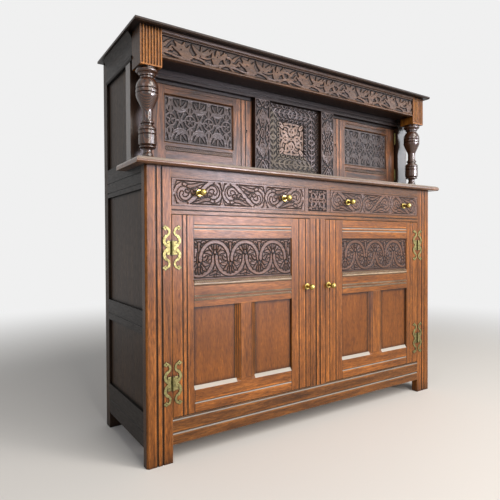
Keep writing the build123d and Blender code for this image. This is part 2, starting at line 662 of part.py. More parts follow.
def column():
    """Left turned column, with its dowel up into the block."""
    height = Z_BLOCK - Z_UPPER
    base, drum, stem, bulb = COLUMN_BASE_R, COLUMN_DRUM_R, COLUMN_STEM_R, COLUMN_BULB_R
    neck = stem - 3
    with BuildSketch(Plane.XZ) as profile:
        with BuildLine():
            Polyline((0, height + DOWEL_LENGTH), (0, 0), (base - 3, 0))
            ThreePointArc((base - 3, 0), (base, 4), (base - 3, 8))
            Line((base - 3, 8), (base - 6, 9))
            ThreePointArc((base - 6, 9), (neck + 5, 14), (neck + 3, 22))
            ThreePointArc((neck + 3, 22), (neck, 30), (neck + 3, 38))
            Line((neck + 3, 38), (drum - 5, 39))
            ThreePointArc((drum - 5, 39), (drum - 2, 42), (drum - 5, 45))
            Polyline((drum - 5, 45), (drum, 50), (drum, 77.5), (drum - 2.2, 79.5), (drum, 81.5), (drum, 89.5),
                     (drum - 2.2, 91.5), (drum, 93.5), (drum, 95))
            ThreePointArc((drum, 95), (drum - 3, 102), (stem + 3, 105))
            Line((stem + 3, 105), (stem + 1, 111))
            ThreePointArc((stem + 1, 111), (stem + 5, 115.5), (stem + 1, 120))
            Polyline((stem + 1, 120), (stem, 124), (stem, 145))
            Spline((stem, 145), (bulb - 13, 162), (bulb - 7.5, 174), (bulb - 2.3, 186), (bulb, 198.5),
                   tangents=((0, 1), (0, 1)))
            Polyline((bulb, 198.5), (bulb - 2.2, 200.5), (bulb, 202.5), (bulb + 0.4, 207), (bulb, 211),
                     (bulb - 2.2, 213), (bulb, 215), (bulb, 216))
            ThreePointArc((bulb, 216), (bulb - 3, 231), (neck + 8, 246))
            Polyline((neck + 8, 246), (neck + 8, 250), (neck + 12, 252))
            ThreePointArc((neck + 12, 252), (neck + 13, 257), (bulb - 4, 260))
            ThreePointArc((bulb - 4, 260), (bulb, 266), (bulb - 3, 272))
            Polyline((bulb - 3, 272), (bulb - 3, height), (DOWEL_R, height), (DOWEL_R, height + DOWEL_LENGTH),
                     (0, height + DOWEL_LENGTH))
        make_face()
    return Pos(COLUMN_X, COLUMN_Y, Z_UPPER) * revolve(profile.sketch, Axis.Z)


FLUTE_STOP = 7.0


def column_block():
    """Left block over the column, fluted on its front."""
    x = (-HALF, -HALF + BLOCK_SIZE)
    y = (FACE + BLOCK_SETBACK, FACE + BLOCK_SETBACK + BLOCK_SIZE)
    block = timber(x, y, (Z_BLOCK, Z_TOP))
    pitch = BLOCK_SIZE / (BLOCK_FLUTES + 0.5)
    for n in range(BLOCK_FLUTES):
        line = x[0] + pitch * (n + 0.75)
        stop = Z_BLOCK + FLUTE_STOP
        block -= upright_groove(line, y[0], (stop, Z_TOP), BLOCK_FLUTE_WIDTH)
        block -= Pos(line, y[0], stop) * Sphere(BLOCK_FLUTE_WIDTH / 2)
    dowel_hole = Pos(COLUMN_X, COLUMN_Y, Z_BLOCK + DOWEL_LENGTH / 2) * Cylinder(DOWEL_R, DOWEL_LENGTH)
    return block - dowel_hole


BLOCK_INNER = HALF - BLOCK_SIZE
BLOCK_BACK = FACE + BLOCK_SETBACK + BLOCK_SIZE
FRIEZE_FACE = FACE + FRIEZE_SETBACK


def frieze_rail():
    """Frieze between the blocks: carved board, lip below and band above."""
    x = (-BLOCK_INNER, BLOCK_INNER)
    board = timber(x, (FRIEZE_FACE, FRIEZE_FACE + FRIEZE_THICK), (Z_SOFFIT, Z_TOP))
    lip = timber(x, (FRIEZE_FACE - FRIEZE_LIP_PROUD, FRIEZE_FACE), (Z_SOFFIT, Z_SOFFIT + FRIEZE_LIP_HEIGHT))
    band = timber(x, (FRIEZE_FACE - FRIEZE_BAND_PROUD, FRIEZE_FACE), (Z_TOP - FRIEZE_BAND_HEIGHT, Z_TOP))
    return [board + lip, band]


def side_frieze():
    """Left side frieze: bead below, flat face, hollow cornice above; it runs from the block to the back post."""
    bead_top = Z_SOFFIT + SIDE_BEAD_HEIGHT
    cove_low = Z_TOP - SIDE_CORNICE_HEIGHT
    reach = SIDE_CORNICE_PROUD
    with BuildSketch(Plane.XZ) as profile:
        with BuildLine():
            Line((-INSIDE, Z_SOFFIT), (-HALF, Z_SOFFIT))
            ThreePointArc((-HALF, Z_SOFFIT), (-HALF - SIDE_BEAD_PROUD, Z_SOFFIT + SIDE_BEAD_HEIGHT / 2),
                          (-HALF, bead_top))
            Line((-HALF, bead_top), (-HALF, cove_low))
            ThreePointArc((-HALF, cove_low), (-HALF - 0.32 * reach, cove_low + 0.62 * SIDE_CORNICE_HEIGHT),
                          (-HALF - reach, Z_TOP))
            Polyline((-HALF - reach, Z_TOP), (-INSIDE, Z_TOP), (-INSIDE, Z_SOFFIT))
        make_face()
    y = (BLOCK_BACK, BACK_POST_FRONT)
    rail = extrude(Pos(0, y[1], 0) * profile.sketch, y[1] - y[0])
    return rail + side_frieze_tenon() - upper_side_panel_boards()[1][0]


def soffit_board():
    """Boards the underside of the overhang, between the frieze and the upper cupboard."""
    z = (Z_SOFFIT, Z_SOFFIT + SOFFIT_THICK)
    front = timber((-BLOCK_INNER, BLOCK_INNER), (FRIEZE_FACE + FRIEZE_THICK, BLOCK_BACK), z)
    return front + timber((-INSIDE, INSIDE), (BLOCK_BACK, UPPER_FRONT), z)


def top_board():
    """Top board with a rounded upper edge at the front and the sides."""
    side = HALF + TOP_SIDE_OVERHANG
    front = FACE + TOP_FRONT_SETBACK
    board = timber((-side, side), (front, BACK), (Z_TOP, Z_TOP + TOP_THICK))
    ends = board.edges().filter_by(Axis.Y).group_by(Axis.Z)[-1]
    long_edge = board.edges().filter_by(Axis.X).group_by(Axis.Z)[-1].sort_by(Axis.Y)[0]
    board = fillet([*ends, long_edge], TOP_THICK * 0.45)
    under = board.edges().group_by(Axis.Z)[0].filter_by_position(Axis.Y, front - 1, front + 1)
    return chamfer(under, TOP_THICK * 0.35)


# ------------------------------------------------------------------ lower doors (left one, hinged at its left)
DOOR_X = (-OPENING + DOOR_GAP, -MUNTIN - DOOR_GAP)
DOOR_Z = (Z_DOOR + DOOR_GAP, Z_MIDDLE_RAIL - DOOR_GAP)
DOOR_Y = (FACE, FACE + DOOR_THICK)
STILE_INNER = (DOOR_X[0] + HINGE_STILE, DOOR_X[1] - LOCK_STILE)
CARVED_Z = (DOOR_Z[1] - DOOR_TOP_RAIL - DOOR_CARVED_PANEL, DOOR_Z[1] - DOOR_TOP_RAIL)
PLAIN_Z = (DOOR_Z[0] + DOOR_BOTTOM_RAIL, CARVED_Z[0] - DOOR_MIDDLE_RAIL)
DOOR_MUNTIN_X = (sum(STILE_INNER) / 2 - DOOR_MUNTIN / 2, sum(STILE_INNER) / 2 + DOOR_MUNTIN / 2)
DOOR_GROOVES = (33.0, 47.0)       # on the hinge stile, in from its outer edge
LOCK_GROOVES = (20.0, 51.0)       # on the lock stile, in from its outer edge
TOP_RAIL_GROOVES = (28.0, 39.0)   # on the top rail, up from its lower edge
SILL_RIDGES = (4.0, 11.0, 18.0)   # grooves that leave two ridges below the carved panel, down from it
STRIP_EDGES = (21.0, 33.0)        # the gouged strip on the middle rail, up from its lower edge
BOTTOM_LINE = 30.0                # groove on the bottom rail, up from its lower edge


def door_panels():
    """Panels of the left lower door: one carved, two plain, and all their groove cutters."""
    carved, carved_groove = panel(STILE_INNER, CARVED_Z, FACE + CARVED_RECESS, PANEL_THICK)
    made = []
    for x in ((STILE_INNER[0], DOOR_MUNTIN_X[0]), (DOOR_MUNTIN_X[1], STILE_INNER[1])):
        made.append(panel(x, PLAIN_Z, FACE + PANEL_RECESS, PANEL_THICK))
    return carved, [made[0][0], made[1][0]], [carved_groove, made[0][1], made[1][1]]


def framed(x, y, z, tenon, along=None):
    """A rail or muntin with a tenon at each end, and the tenons alone."""
    depth = (y[0] + tenon[1], y[0] + tenon[1] + TENON_THICK)
    shoulder = TENON_SHOULDER
    if along == "z":
        ends = timber((x[0] + shoulder, x[1] - shoulder), depth, (z[0] - tenon[0], z[1] + tenon[0]))
    else:
        ends = timber((x[0] - tenon[0], x[1] + tenon[0]), depth, (z[0] + shoulder, z[1] - shoulder))
    return timber(x, y, z) + ends, ends


def lower_door_frame():
    """Stiles, rails and muntin of the left lower door."""
    tenon = (TENON_LENGTH, (DOOR_THICK - TENON_THICK) / 2)
    short = (STUB, tenon[1])
    rails, tenons = [], []
    for z in ((DOOR_Z[0], PLAIN_Z[0]), (PLAIN_Z[1], CARVED_Z[0]), (CARVED_Z[1], DOOR_Z[1])):
        rail, ends = framed(STILE_INNER, DOOR_Y, z, tenon)
        rails.append(rail)
        tenons.append(ends)
    muntin, muntin_ends = framed(DOOR_MUNTIN_X, DOOR_Y, PLAIN_Z, short, "z")
    rails[0] -= muntin_ends
    rails[1] -= muntin_ends
    hinge_stile = timber((DOOR_X[0], STILE_INNER[0]), DOOR_Y, DOOR_Z)
    lock_stile = timber((STILE_INNER[1], DOOR_X[1]), DOOR_Y, DOOR_Z)
    for ends in tenons:
        hinge_stile -= ends
        lock_stile -= ends
    for inset in DOOR_GROOVES:
        hinge_stile -= upright_groove(DOOR_X[0] + inset, FACE, DOOR_Z, FINE_GROOVE)
    for inset in LOCK_GROOVES:
        lock_stile -= upright_groove(DOOR_X[1] - inset, FACE, DOOR_Z, FINE_GROOVE)
    for rise in TOP_RAIL_GROOVES:
        rails[2] -= level_groove(STILE_INNER, FACE, CARVED_Z[1] + rise, FINE_GROOVE)
    for drop in SILL_RIDGES:
        rails[1] -= level_groove(STILE_INNER, FACE, CARVED_Z[0] - drop, FINE_GROOVE)
    for rise in STRIP_EDGES:
        rails[1] -= level_groove(STILE_INNER, FACE, PLAIN_Z[1] + rise, FINE_GROOVE)
    rails[0] -= level_groove(STILE_INNER, FACE, DOOR_Z[0] + BOTTOM_LINE, FINE_GROOVE)
    lock_x = DOOR_X[1] - KEYHOLE_INSET
    lock_stile -= keyhole(lock_x, FACE, LOWER_KEY_Z, DOOR_THICK)
    lock_stile -= lock_recess(DOOR_X[1], FACE + DOOR_THICK, LOWER_KEY_Z)
    members = [hinge_stile, lock_stile, *rails, muntin]
    left_x, right_x = (STILE_INNER[0], DOOR_MUNTIN_X[0]), (DOOR_MUNTIN_X[1], STILE_INNER[1])
    stile, middle, sill = STILE_STICKING, MUNTIN_STICKING, SILL_STICKING
    openings = [splay(STILE_INNER, CARVED_Z, FACE, CARVED_RECESS, stile, stile, CARVED_RECESS)]
    openings.append(splay(left_x, PLAIN_Z, FACE, PANEL_RECESS, stile, middle, sill))
    openings.append(splay(right_x, PLAIN_Z, FACE, PANEL_RECESS, middle, stile, sill))
    finished = []
    for member in members:
        for cutter in [*door_panels()[2], *openings]:
            member -= cutter
        finished.append(member)
    return finished


# ------------------------------------------------------------------ locks (left-hand door, lock edge at edge_x)
def lock_recess(edge_x, back_y, z):
    """The recess in the back of a lock stile that takes the case."""
    return timber((edge_x - LOCK_CASE_WIDTH, edge_x), (back_y - LOCK_CASE_THICK, back_y),
                  (z - LOCK_CASE_HEIGHT / 2, z + LOCK_CASE_HEIGHT / 2))


def lock_case(edge_x, back_y, z, key_inset):
    """Brass lock case let into the stile, with the channel that its bolt slides in."""
    case = lock_recess(edge_x, back_y, z)
    middle = back_y - LOCK_CASE_THICK / 2
    channel = (edge_x - BOLT_LENGTH - BOLT_THROW, edge_x)
    case -= bolt_mortise(channel, middle, z)
    return case - keyhole(edge_x - key_inset, back_y - LOCK_CASE_THICK, z, LOCK_CASE_THICK)


def lock_bolt(edge_x, back_y, z):
    """The bolt, drawn back; it slides out by BOLT_THROW to lock."""
    x = (edge_x - BOLT_LENGTH - BOLT_PLAY, edge_x - BOLT_PLAY)
    middle = back_y - LOCK_CASE_THICK / 2
    return timber(x, (middle - BOLT_THICK / 2, middle + BOLT_THICK / 2), (z - BOLT_HEIGHT / 2, z + BOLT_HEIGHT / 2))


# ------------------------------------------------------------------ cockshead hinges
HINGE_X = -OPENING + DOOR_GAP / 2
HINGE_Y = FACE - KNUCKLE_R - KNUCKLE_GAP
SCREW_OFF = (13.0, 13.0)          # plate screw holes, out from the pin and up from the middle
HEAD = (20.5, 58.5)               # middle of a cock's head


def arm_bar(start, end, width):
    """A short bar with round ends between two points."""
    along = Vector(*end) - Vector(*start)
    middle = (Vector(*start) + Vector(*end)) / 2
    angle = along.get_signed_angle(Vector(1, 0)) * -1
    return Pos(middle.X, middle.Y) * Rot(0, 0, angle) * SlotCenterToCenter(along.length, width)


ARM = ((15.0, 5.0), (24.0, 17.0), (18.0, 34.0))       # body of the S, an arc out from the plate
ARM_NECK = ((18.0, 34.0), (8.5, 49.0), (18.0, 59.5))  # neck of the S, back in and round to the head
HEAD_R = 4.6
BEAK = ((6.5, 6.0), (7.0, -5.5))                      # ends of the two halves of the beak, from the head
BEAK_WIDTH = 3.4


def cockshead_leaf():
    """Outline of one leaf, out along local x from the pin: plate, and an S-shaped arm up and down."""
    leaf = Pos(HINGE_PLATE_WIDTH / 2 + DOOR_GAP / 4, 0) * Rectangle(HINGE_PLATE_WIDTH - DOOR_GAP / 2, HINGE_PLATE_HEIGHT)
    for side in (1, -1):
        head = (HEAD[0], HEAD[1] * side)
        for points, width in ((ARM, HINGE_ARM_WIDTH), (ARM_NECK, HINGE_ARM_WIDTH - 2)):
            leaf += SlotArc(ThreePointArc(*[(x, z * side) for x, z in points]), width)
        leaf += Pos(*head) * Circle(HEAD_R)
        for reach, lift in BEAK:
            leaf += arm_bar(head, (head[0] + reach, head[1] + lift * side), BEAK_WIDTH)
        for hole in (head, (SCREW_OFF[0], SCREW_OFF[1] * side)):
            leaf -= Pos(*hole) * Circle(SCREW_HOLE_R)
    return leaf


def knuckle(x, y, z, radius, pin_radius):
    """A knuckle on an upright pin, over the height range z."""
    barrel = Pos(x, y, sum(z) / 2) * Cylinder(radius, z[1] - z[0])
    return barrel - Pos(x, y, sum(z) / 2) * Cylinder(pin_radius + PIN_CLEARANCE, z[1] - z[0])


def knuckle_spans(z, height):
    """Heights of a hinge's middle knuckle and of the two outer ones."""
    third = height / 6
    middle = (z - third, z + third)
    lower = (z - height / 2, z - third - KNUCKLE_GAP)
    upper = (z + third + KNUCKLE_GAP, z + height / 2)
    return middle, lower, upper


def cockshead_hinge(z):
    """Door leaf, post leaf and pin of one left-hand hinge at height z."""
    outline = cockshead_leaf()
    middle, lower, upper = knuckle_spans(z, HINGE_PLATE_HEIGHT)
    bore = Pos(HINGE_X, HINGE_Y, z) * Cylinder(PIN_R + PIN_CLEARANCE, HINGE_PLATE_HEIGHT)
    door_leaf = extrude(front_plane(FACE) * Pos(HINGE_X, z) * outline, HINGE_PLATE_THICK)
    post_leaf = mirror(door_leaf, about=Plane.YZ.offset(HINGE_X))
    for span in (lower, upper):
        clear = timber((HINGE_X - KNUCKLE_R, HINGE_X + KNUCKLE_R + KNUCKLE_GAP), (HINGE_Y - KNUCKLE_R, FACE), span)
        door_leaf -= clear
        post_leaf += knuckle(HINGE_X, HINGE_Y, span, KNUCKLE_R, PIN_R)
    clear = timber((HINGE_X - KNUCKLE_R - KNUCKLE_GAP, HINGE_X + KNUCKLE_R), (HINGE_Y - KNUCKLE_R, FACE),
                   (middle[0] - KNUCKLE_GAP, middle[1] + KNUCKLE_GAP))
    post_leaf -= clear
    door_leaf += knuckle(HINGE_X, HINGE_Y, middle, KNUCKLE_R, PIN_R)
    pin = Pos(HINGE_X, HINGE_Y, z) * Cylinder(PIN_R, HINGE_PLATE_HEIGHT)
    return door_leaf - bore, post_leaf - bore, pin


# ------------------------------------------------------------------ butt hinges of the upper doors
BUTT_X = -UPPER_OPENING + UPPER_HINGE_GAP / 2
BUTT_Y = UPPER_FACE - BUTT_KNUCKLE_R - KNUCKLE_GAP


def butt_hinge(z):
    """Door leaf, post leaf and pin of one left-hand butt hinge at height z."""
    middle, lower, upper = knuckle_spans(z, BUTT_HEIGHT)
    half_gap = UPPER_HINGE_GAP / 2
    up = (z - BUTT_HEIGHT / 2, z + BUTT_HEIGHT / 2)
    y = (BUTT_Y, UPPER_FACE + BUTT_LEAF_DEPTH)
    door_leaf = timber((BUTT_X + half_gap - BUTT_LEAF_THICK, BUTT_X + half_gap), y, up)
    post_leaf = mirror(door_leaf, about=Plane.YZ.offset(BUTT_X))
    reach = BUTT_KNUCKLE_R + KNUCKLE_GAP
    front = (BUTT_Y - BUTT_KNUCKLE_R, UPPER_FACE)
    for span in (lower, upper):
        door_leaf -= timber((BUTT_X, BUTT_X + reach), front, (span[0] - KNUCKLE_GAP, span[1] + KNUCKLE_GAP))
        post_leaf += knuckle(BUTT_X, BUTT_Y, span, BUTT_KNUCKLE_R, BUTT_PIN_R)
    post_leaf -= timber((BUTT_X - reach, BUTT_X), front, (middle[0] - KNUCKLE_GAP, middle[1] + KNUCKLE_GAP))
    door_leaf += knuckle(BUTT_X, BUTT_Y, middle, BUTT_KNUCKLE_R, BUTT_PIN_R)
    bore = Pos(BUTT_X, BUTT_Y, z) * Cylinder(BUTT_PIN_R + PIN_CLEARANCE, BUTT_HEIGHT)
    pin = Pos(BUTT_X, BUTT_Y, z) * Cylinder(BUTT_PIN_R, BUTT_HEIGHT)
    return door_leaf - bore, post_leaf - bore, pin


# ------------------------------------------------------------------ upper doors (left one, hinged at its left)
UPPER_DOOR_X = (-UPPER_OPENING + UPPER_HINGE_GAP, -PILASTER_OUTER - DOOR_GAP)
UPPER_DOOR_Z = (Z_UPPER_DOOR + DOOR_GAP, Z_UPPER_DOOR_TOP - DOOR_GAP)
UPPER_STILE_INNER = (UPPER_DOOR_X[0] + UPPER_HINGE_STILE, UPPER_DOOR_X[1] - UPPER_LOCK_STILE)
UPPER_PANEL_Z = (UPPER_DOOR_Z[0] + UPPER_DOOR_BOTTOM_RAIL, UPPER_DOOR_Z[1] - UPPER_DOOR_TOP_RAIL)
UPPER_LOCK_GROOVES = (30.0, 48.0)   # on the lock stile, in from its outer edge
UPPER_TOP_LINE = 12.0               # groove on the top rail, down from the door's top
UPPER_STRIP_EDGES = (17.0, 29.0)    # beaded strip on the bottom rail, down from the panel
UPPER_RECESS = 6.0                  # frame face to the carved panel's face


def upper_door_panel():
    return panel(UPPER_STILE_INNER, UPPER_PANEL_Z, UPPER_FACE + UPPER_RECESS, PANEL_THICK)


def upper_door_frame():
    """Stiles and rails of the left upper door."""
    tenon = (TENON_LENGTH, UPPER_TENON_THICK)
    bottom, bottom_ends = framed(UPPER_STILE_INNER, UPPER_Y, (UPPER_DOOR_Z[0], UPPER_PANEL_Z[0]), tenon)
    top, top_ends = framed(UPPER_STILE_INNER, UPPER_Y, (UPPER_PANEL_Z[1], UPPER_DOOR_Z[1]), tenon)
    hinge_stile = timber((UPPER_DOOR_X[0], UPPER_STILE_INNER[0]), UPPER_Y, UPPER_DOOR_Z) - bottom_ends - top_ends
    lock_stile = timber((UPPER_STILE_INNER[1], UPPER_DOOR_X[1]), UPPER_Y, UPPER_DOOR_Z) - bottom_ends - top_ends
    for inset in UPPER_LOCK_GROOVES:
        lock_stile -= upright_groove(UPPER_DOOR_X[1] - inset, UPPER_FACE, UPPER_DOOR_Z, FINE_GROOVE)
    for drop in UPPER_STRIP_EDGES:
        bottom -= level_groove(UPPER_STILE_INNER, UPPER_FACE, UPPER_PANEL_Z[0] - drop, FINE_GROOVE)
    top -= level_groove(UPPER_STILE_INNER, UPPER_FACE, UPPER_DOOR_Z[1] - UPPER_TOP_LINE, FINE_GROOVE)
    lock_stile -= keyhole(UPPER_DOOR_X[1] - UPPER_KEYHOLE_INSET, UPPER_FACE, UPPER_KEY_Z, UPPER_THICK)
    lock_stile -= lock_recess(UPPER_DOOR_X[1], UPPER_FACE + UPPER_THICK, UPPER_KEY_Z)
    groove = upper_door_panel()[1]
    bevel = splay(UPPER_STILE_INNER, UPPER_PANEL_Z, UPPER_FACE, UPPER_RECESS, *[UPPER_STICKING] * 4)
    return [member - groove - bevel for member in (hinge_stile, lock_stile, bottom, top)]


# ------------------------------------------------------------------ knobs
def knob(x, y, z):
    """Turned brass knob on a rose, standing out from the face y."""
    throat = KNOB_NECK_R + 1.5
    ball_middle = KNOB_PROJECTION - KNOB_BALL_R
    neck_end = ball_middle - (KNOB_BALL_R ** 2 - throat ** 2) ** 0.5
    neck_middle = (KNOB_ROSE_THICK + neck_end) / 2
    with BuildSketch(Plane.XZ) as profile:
        with BuildLine():
            Polyline((0, 0), (KNOB_ROSE_R, 0), (KNOB_ROSE_R, KNOB_ROSE_THICK / 2),
                     (KNOB_ROSE_R - KNOB_ROSE_THICK / 2, KNOB_ROSE_THICK), (throat, KNOB_ROSE_THICK))
            ThreePointArc((throat, KNOB_ROSE_THICK), (KNOB_NECK_R, neck_middle), (throat, neck_end))
            ThreePointArc((throat, neck_end), (KNOB_BALL_R, ball_middle), (0, KNOB_PROJECTION))
            Line((0, KNOB_PROJECTION), (0, 0))
        make_face()
    turned = revolve(profile.sketch, Axis.Z)
    return Pos(x, y, z) * Rot(90, 0, 0) * turned


# ------------------------------------------------------------------ drawers (left one)
DRAWER_X = (-OPENING + DOOR_GAP, -DIVIDER - DOOR_GAP)
DRAWER_FRONT_Z = (Z_DRAWER + DOOR_GAP / 2, Z_TOP_RAIL - DOOR_GAP / 2)
DRAWER_SIDE_Z = (Z_DRAWER + DRAWER_RUNNING_GAP, Z_DRAWER + DRAWER_RUNNING_GAP + DRAWER_SIDE_HEIGHT)
DRAWER_BACK = BACK_RAIL_Y[0] - DRAWER_END_GAP
DRAWER_GROOVE = 4.0               # bottom board into the sides and the front


def drawer_front():
    front = timber(DRAWER_X, (FACE, FACE + DRAWER_FRONT_THICK), DRAWER_FRONT_Z)
    return front - drawer_bottom()


def drawer_bottom():
    z = DRAWER_SIDE_Z[0] + DRAWER_BOTTOM_RISE
    inner = DRAWER_SIDE_THICK - DRAWER_GROOVE
    return timber((DRAWER_X[0] + inner, DRAWER_X[1] - inner),
                  (FACE + DRAWER_FRONT_THICK - DRAWER_GROOVE, DRAWER_BACK), (z, z + DRAWER_BOTTOM_THICK))


def drawer_box():
    """Sides, back and bottom."""
    y = (FACE + DRAWER_FRONT_THICK, DRAWER_BACK)
    bottom = drawer_bottom()
    left = timber((DRAWER_X[0], DRAWER_X[0] + DRAWER_SIDE_THICK), y, DRAWER_SIDE_Z) - bottom
    right = timber((DRAWER_X[1] - DRAWER_SIDE_THICK, DRAWER_X[1]), y, DRAWER_SIDE_Z) - bottom
    back = timber((DRAWER_X[0] + DRAWER_SIDE_THICK, DRAWER_X[1] - DRAWER_SIDE_THICK),
                  (DRAWER_BACK - DRAWER_SIDE_THICK, DRAWER_BACK),
                  (DRAWER_SIDE_Z[0] + DRAWER_BOTTOM_RISE + DRAWER_BOTTOM_THICK, DRAWER_SIDE_Z[1]))
    return [left, right, back, bottom]


def drawer_knobs():
    z = sum(DRAWER_FRONT_Z) / 2
    return [knob(DRAWER_X[0] + DRAWER_KNOB_INSET, FACE, z), knob(DRAWER_X[1] - DRAWER_KNOB_INSET, FACE, z)]


# ------------------------------------------------------------------ write every node
def save_pair(left_name, right_name, shapes):
    """A left-hand node and its right-hand twin."""
    save(left_name, *shapes)
    save(right_name, *[right_hand(shape) for shape in shapes])


def save_both(name, shapes):
    """One node that holds the left-hand pieces and the right-hand ones."""
    save(name, *shapes, *[right_hand(shape) for shape in shapes])


os.makedirs("parts", exist_ok=True)

save_pair("front_post_left", "front_post_right", [front_post()])
save("back_frame", back_post(), right_hand(back_post()), *back_rails())
save("bottom_front_rail", bottom_front_rail())
save("middle_front_rail", middle_front_rail())
save("top_front_rail", top_front_rail())
save("drawer_divider", drawer_divider())
save("door_muntin", door_muntin())
save_both("side_rails", side_rails())
save_both("side_panels", side_panel_boards()[0])
save("lower_back_boards", *back_boards((FOOT_HEIGHT, Z_WAIST)))
save("cupboard_floor", cupboard_floor())
save("drawer_runners", *drawer_carriage())
save("waist_board", waist_board())

save_both("upper_corner_posts", [corner_post()])
save_both("upper_side_rails", [upper_side_rail(), side_frieze()])
save_both("upper_side_panels", upper_side_panel_boards()[0])
save("upper_back_boards", *back_boards((Z_WAIST, Z_TOP)))
save("upper_front_frame", *upper_front_frame())
save_both("pilasters", [pilaster()])
save("centre_frame", *centre_frame())
save("centre_panel", centre_panel())
save_pair("column_left", "column_right", [column()])
save_both("column_blocks", [column_block()])
save("frieze_rail", *frieze_rail())
save("soffit_board", soffit_board())
save("top_board", top_board())

lower_hinges = [cockshead_hinge(z) for z in (HINGE_UP, HINGE_DOWN)]
butt_heights = (UPPER_DOOR_Z[0] + BUTT_INSET, UPPER_DOOR_Z[1] - BUTT_INSET)
upper_hinges = [butt_hinge(z) for z in butt_heights]
all_hinges = lower_hinges + upper_hinges
save_both("post_hinge_leaves", [hinge[1] for hinge in all_hinges])
save_both("hinge_pins", [hinge[2] for hinge in all_hinges])

carved_panel, plain_panels, _ = door_panels()
lock_place = (DOOR_X[1], FACE + DOOR_THICK, LOWER_KEY_Z)
save_pair("lower_left_door_frame", "lower_right_door_frame", lower_door_frame())
save_pair("lower_left_carved_panel", "lower_right_carved_panel", [carved_panel])
save_pair("lower_left_plain_panels", "lower_right_plain_panels", plain_panels)
save_pair("lower_left_hinge_leaves", "lower_right_hinge_leaves", [hinge[0] for hinge in lower_hinges])
save_pair("lower_left_knob", "lower_right_knob", [knob(DOOR_X[1] - DOOR_KNOB_INSET, FACE, DOOR_KNOB_HEIGHT)])
save_pair("lower_left_lock_case", "lower_right_lock_case", [lock_case(*lock_place, KEYHOLE_INSET)])
save_pair("lower_left_lock_bolt", "lower_right_lock_bolt", [lock_bolt(*lock_place)])

upper_lock_place = (UPPER_DOOR_X[1], UPPER_FACE + UPPER_THICK, UPPER_KEY_Z)
save_pair("upper_left_door_frame", "upper_right_door_frame", upper_door_frame())
save_pair("upper_left_carved_panel", "upper_right_carved_panel", [upper_door_panel()[0]])
save_pair("upper_left_hinge_leaves", "upper_right_hinge_leaves", [hinge[0] for hinge in upper_hinges])
save_pair("upper_left_lock_case", "upper_right_lock_case", [lock_case(*upper_lock_place, UPPER_KEYHOLE_INSET)])
save_pair("upper_left_lock_bolt", "upper_right_lock_bolt", [lock_bolt(*upper_lock_place)])

save_pair("left_drawer_front", "right_drawer_front", [drawer_front()])
save_pair("left_drawer_box", "right_drawer_box", drawer_box())
save_pair("left_drawer_knobs", "right_drawer_knobs", drawer_knobs())
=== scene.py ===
import math
import bmesh
import bpy
import numpy as np
from mathutils import Matrix, Vector


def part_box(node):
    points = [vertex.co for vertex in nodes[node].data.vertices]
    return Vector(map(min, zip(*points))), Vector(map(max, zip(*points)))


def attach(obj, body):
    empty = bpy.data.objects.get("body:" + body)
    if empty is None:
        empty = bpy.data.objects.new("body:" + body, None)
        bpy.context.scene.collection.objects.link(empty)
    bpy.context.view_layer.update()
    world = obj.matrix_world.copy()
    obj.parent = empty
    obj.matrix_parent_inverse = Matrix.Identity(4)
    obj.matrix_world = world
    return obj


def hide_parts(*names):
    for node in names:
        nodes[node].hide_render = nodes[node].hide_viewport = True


# Oak court cupboard: carved boards, gouged strips and finishes on the joined frame.
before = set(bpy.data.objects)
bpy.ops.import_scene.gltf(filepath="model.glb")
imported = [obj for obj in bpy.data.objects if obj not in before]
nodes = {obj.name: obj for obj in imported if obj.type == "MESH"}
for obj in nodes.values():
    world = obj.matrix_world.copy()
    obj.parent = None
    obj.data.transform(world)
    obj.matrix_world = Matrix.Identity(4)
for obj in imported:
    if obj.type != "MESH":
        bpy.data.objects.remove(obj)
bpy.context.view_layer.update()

MM = 0.001
TONGUE = 8.0 * MM          # how far each carved panel runs into its groove
COARSE = 1.0


# ---------------------------------------------------------------- drawing the carver's lines
# Every outline is in millimetres: u runs to the right along the board, v runs up.
def arc(u, v, across, up, start, end, steps=16):
    turn = np.radians(np.linspace(start, end, steps))
    return np.stack([u + across * np.cos(turn), v + up * np.sin(turn)], -1)


def sweep(a, b, c, d, steps=10):
    """A smooth line from a to d, pulled towards b and c."""
    t = np.linspace(0, 1, steps)[:, None]
    a, b, c, d = (np.array(p, float) for p in (a, b, c, d))
    return a * (1 - t) ** 3 + 3 * b * t * (1 - t) ** 2 + 3 * c * t * t * (1 - t) + d * t ** 3


def scroll(u, v, outer, inner, start, end, steps=26, flat=1.0):
    """A spiral round (u, v) from the radius outer in to inner."""
    turn = np.radians(np.linspace(start, end, steps))
    reach = np.linspace(outer, inner, steps)
    return np.stack([u + reach * np.cos(turn), v + flat * reach * np.sin(turn)], -1)


def strap(line, half=4.0):
    """A flat band with a fillet along both edges."""
    return ("strap", np.asarray(line, float), np.full(len(line), float(half)))


def leaf(line, root, tip, belly=None):
    """A rounded leaf or petal that narrows to its tip, with a vein along it."""
    line = np.asarray(line, float)
    t = np.linspace(0, 1, len(line))
    width = root + (tip - root) * t
    if belly:
        width = width + (belly - (root + tip) / 2) * np.sin(np.pi * t)
    return ("leaf", line, width)


def pit(u, v, radius=1.8):
    """A drilled dot."""
    return ("pit", np.array([[u, v], [u, v + 0.01]]), np.array([radius, radius]))


def turned_over(marks, about_u=None, about_v=None):
    """The same marks, mirrored about a level of u or v."""
    made = []
    for kind, line, width in marks:
        line = line.copy()
        if about_u is not None:
            line[:, 0] = 2 * about_u - line[:, 0]
        if about_v is not None:
            line[:, 1] = 2 * about_v - line[:, 1]
        made.append((kind, line, width))
    return made


def moved(marks, du, dv=0.0):
    return [(kind, line + np.array([du, dv]), width) for kind, line, width in marks]


def both(marks, about_u):
    return marks + turned_over(marks, about_u=about_u)


def step_up(value):
    value = np.clip(value, 0, 1)
    return value * value * (3 - 2 * value)


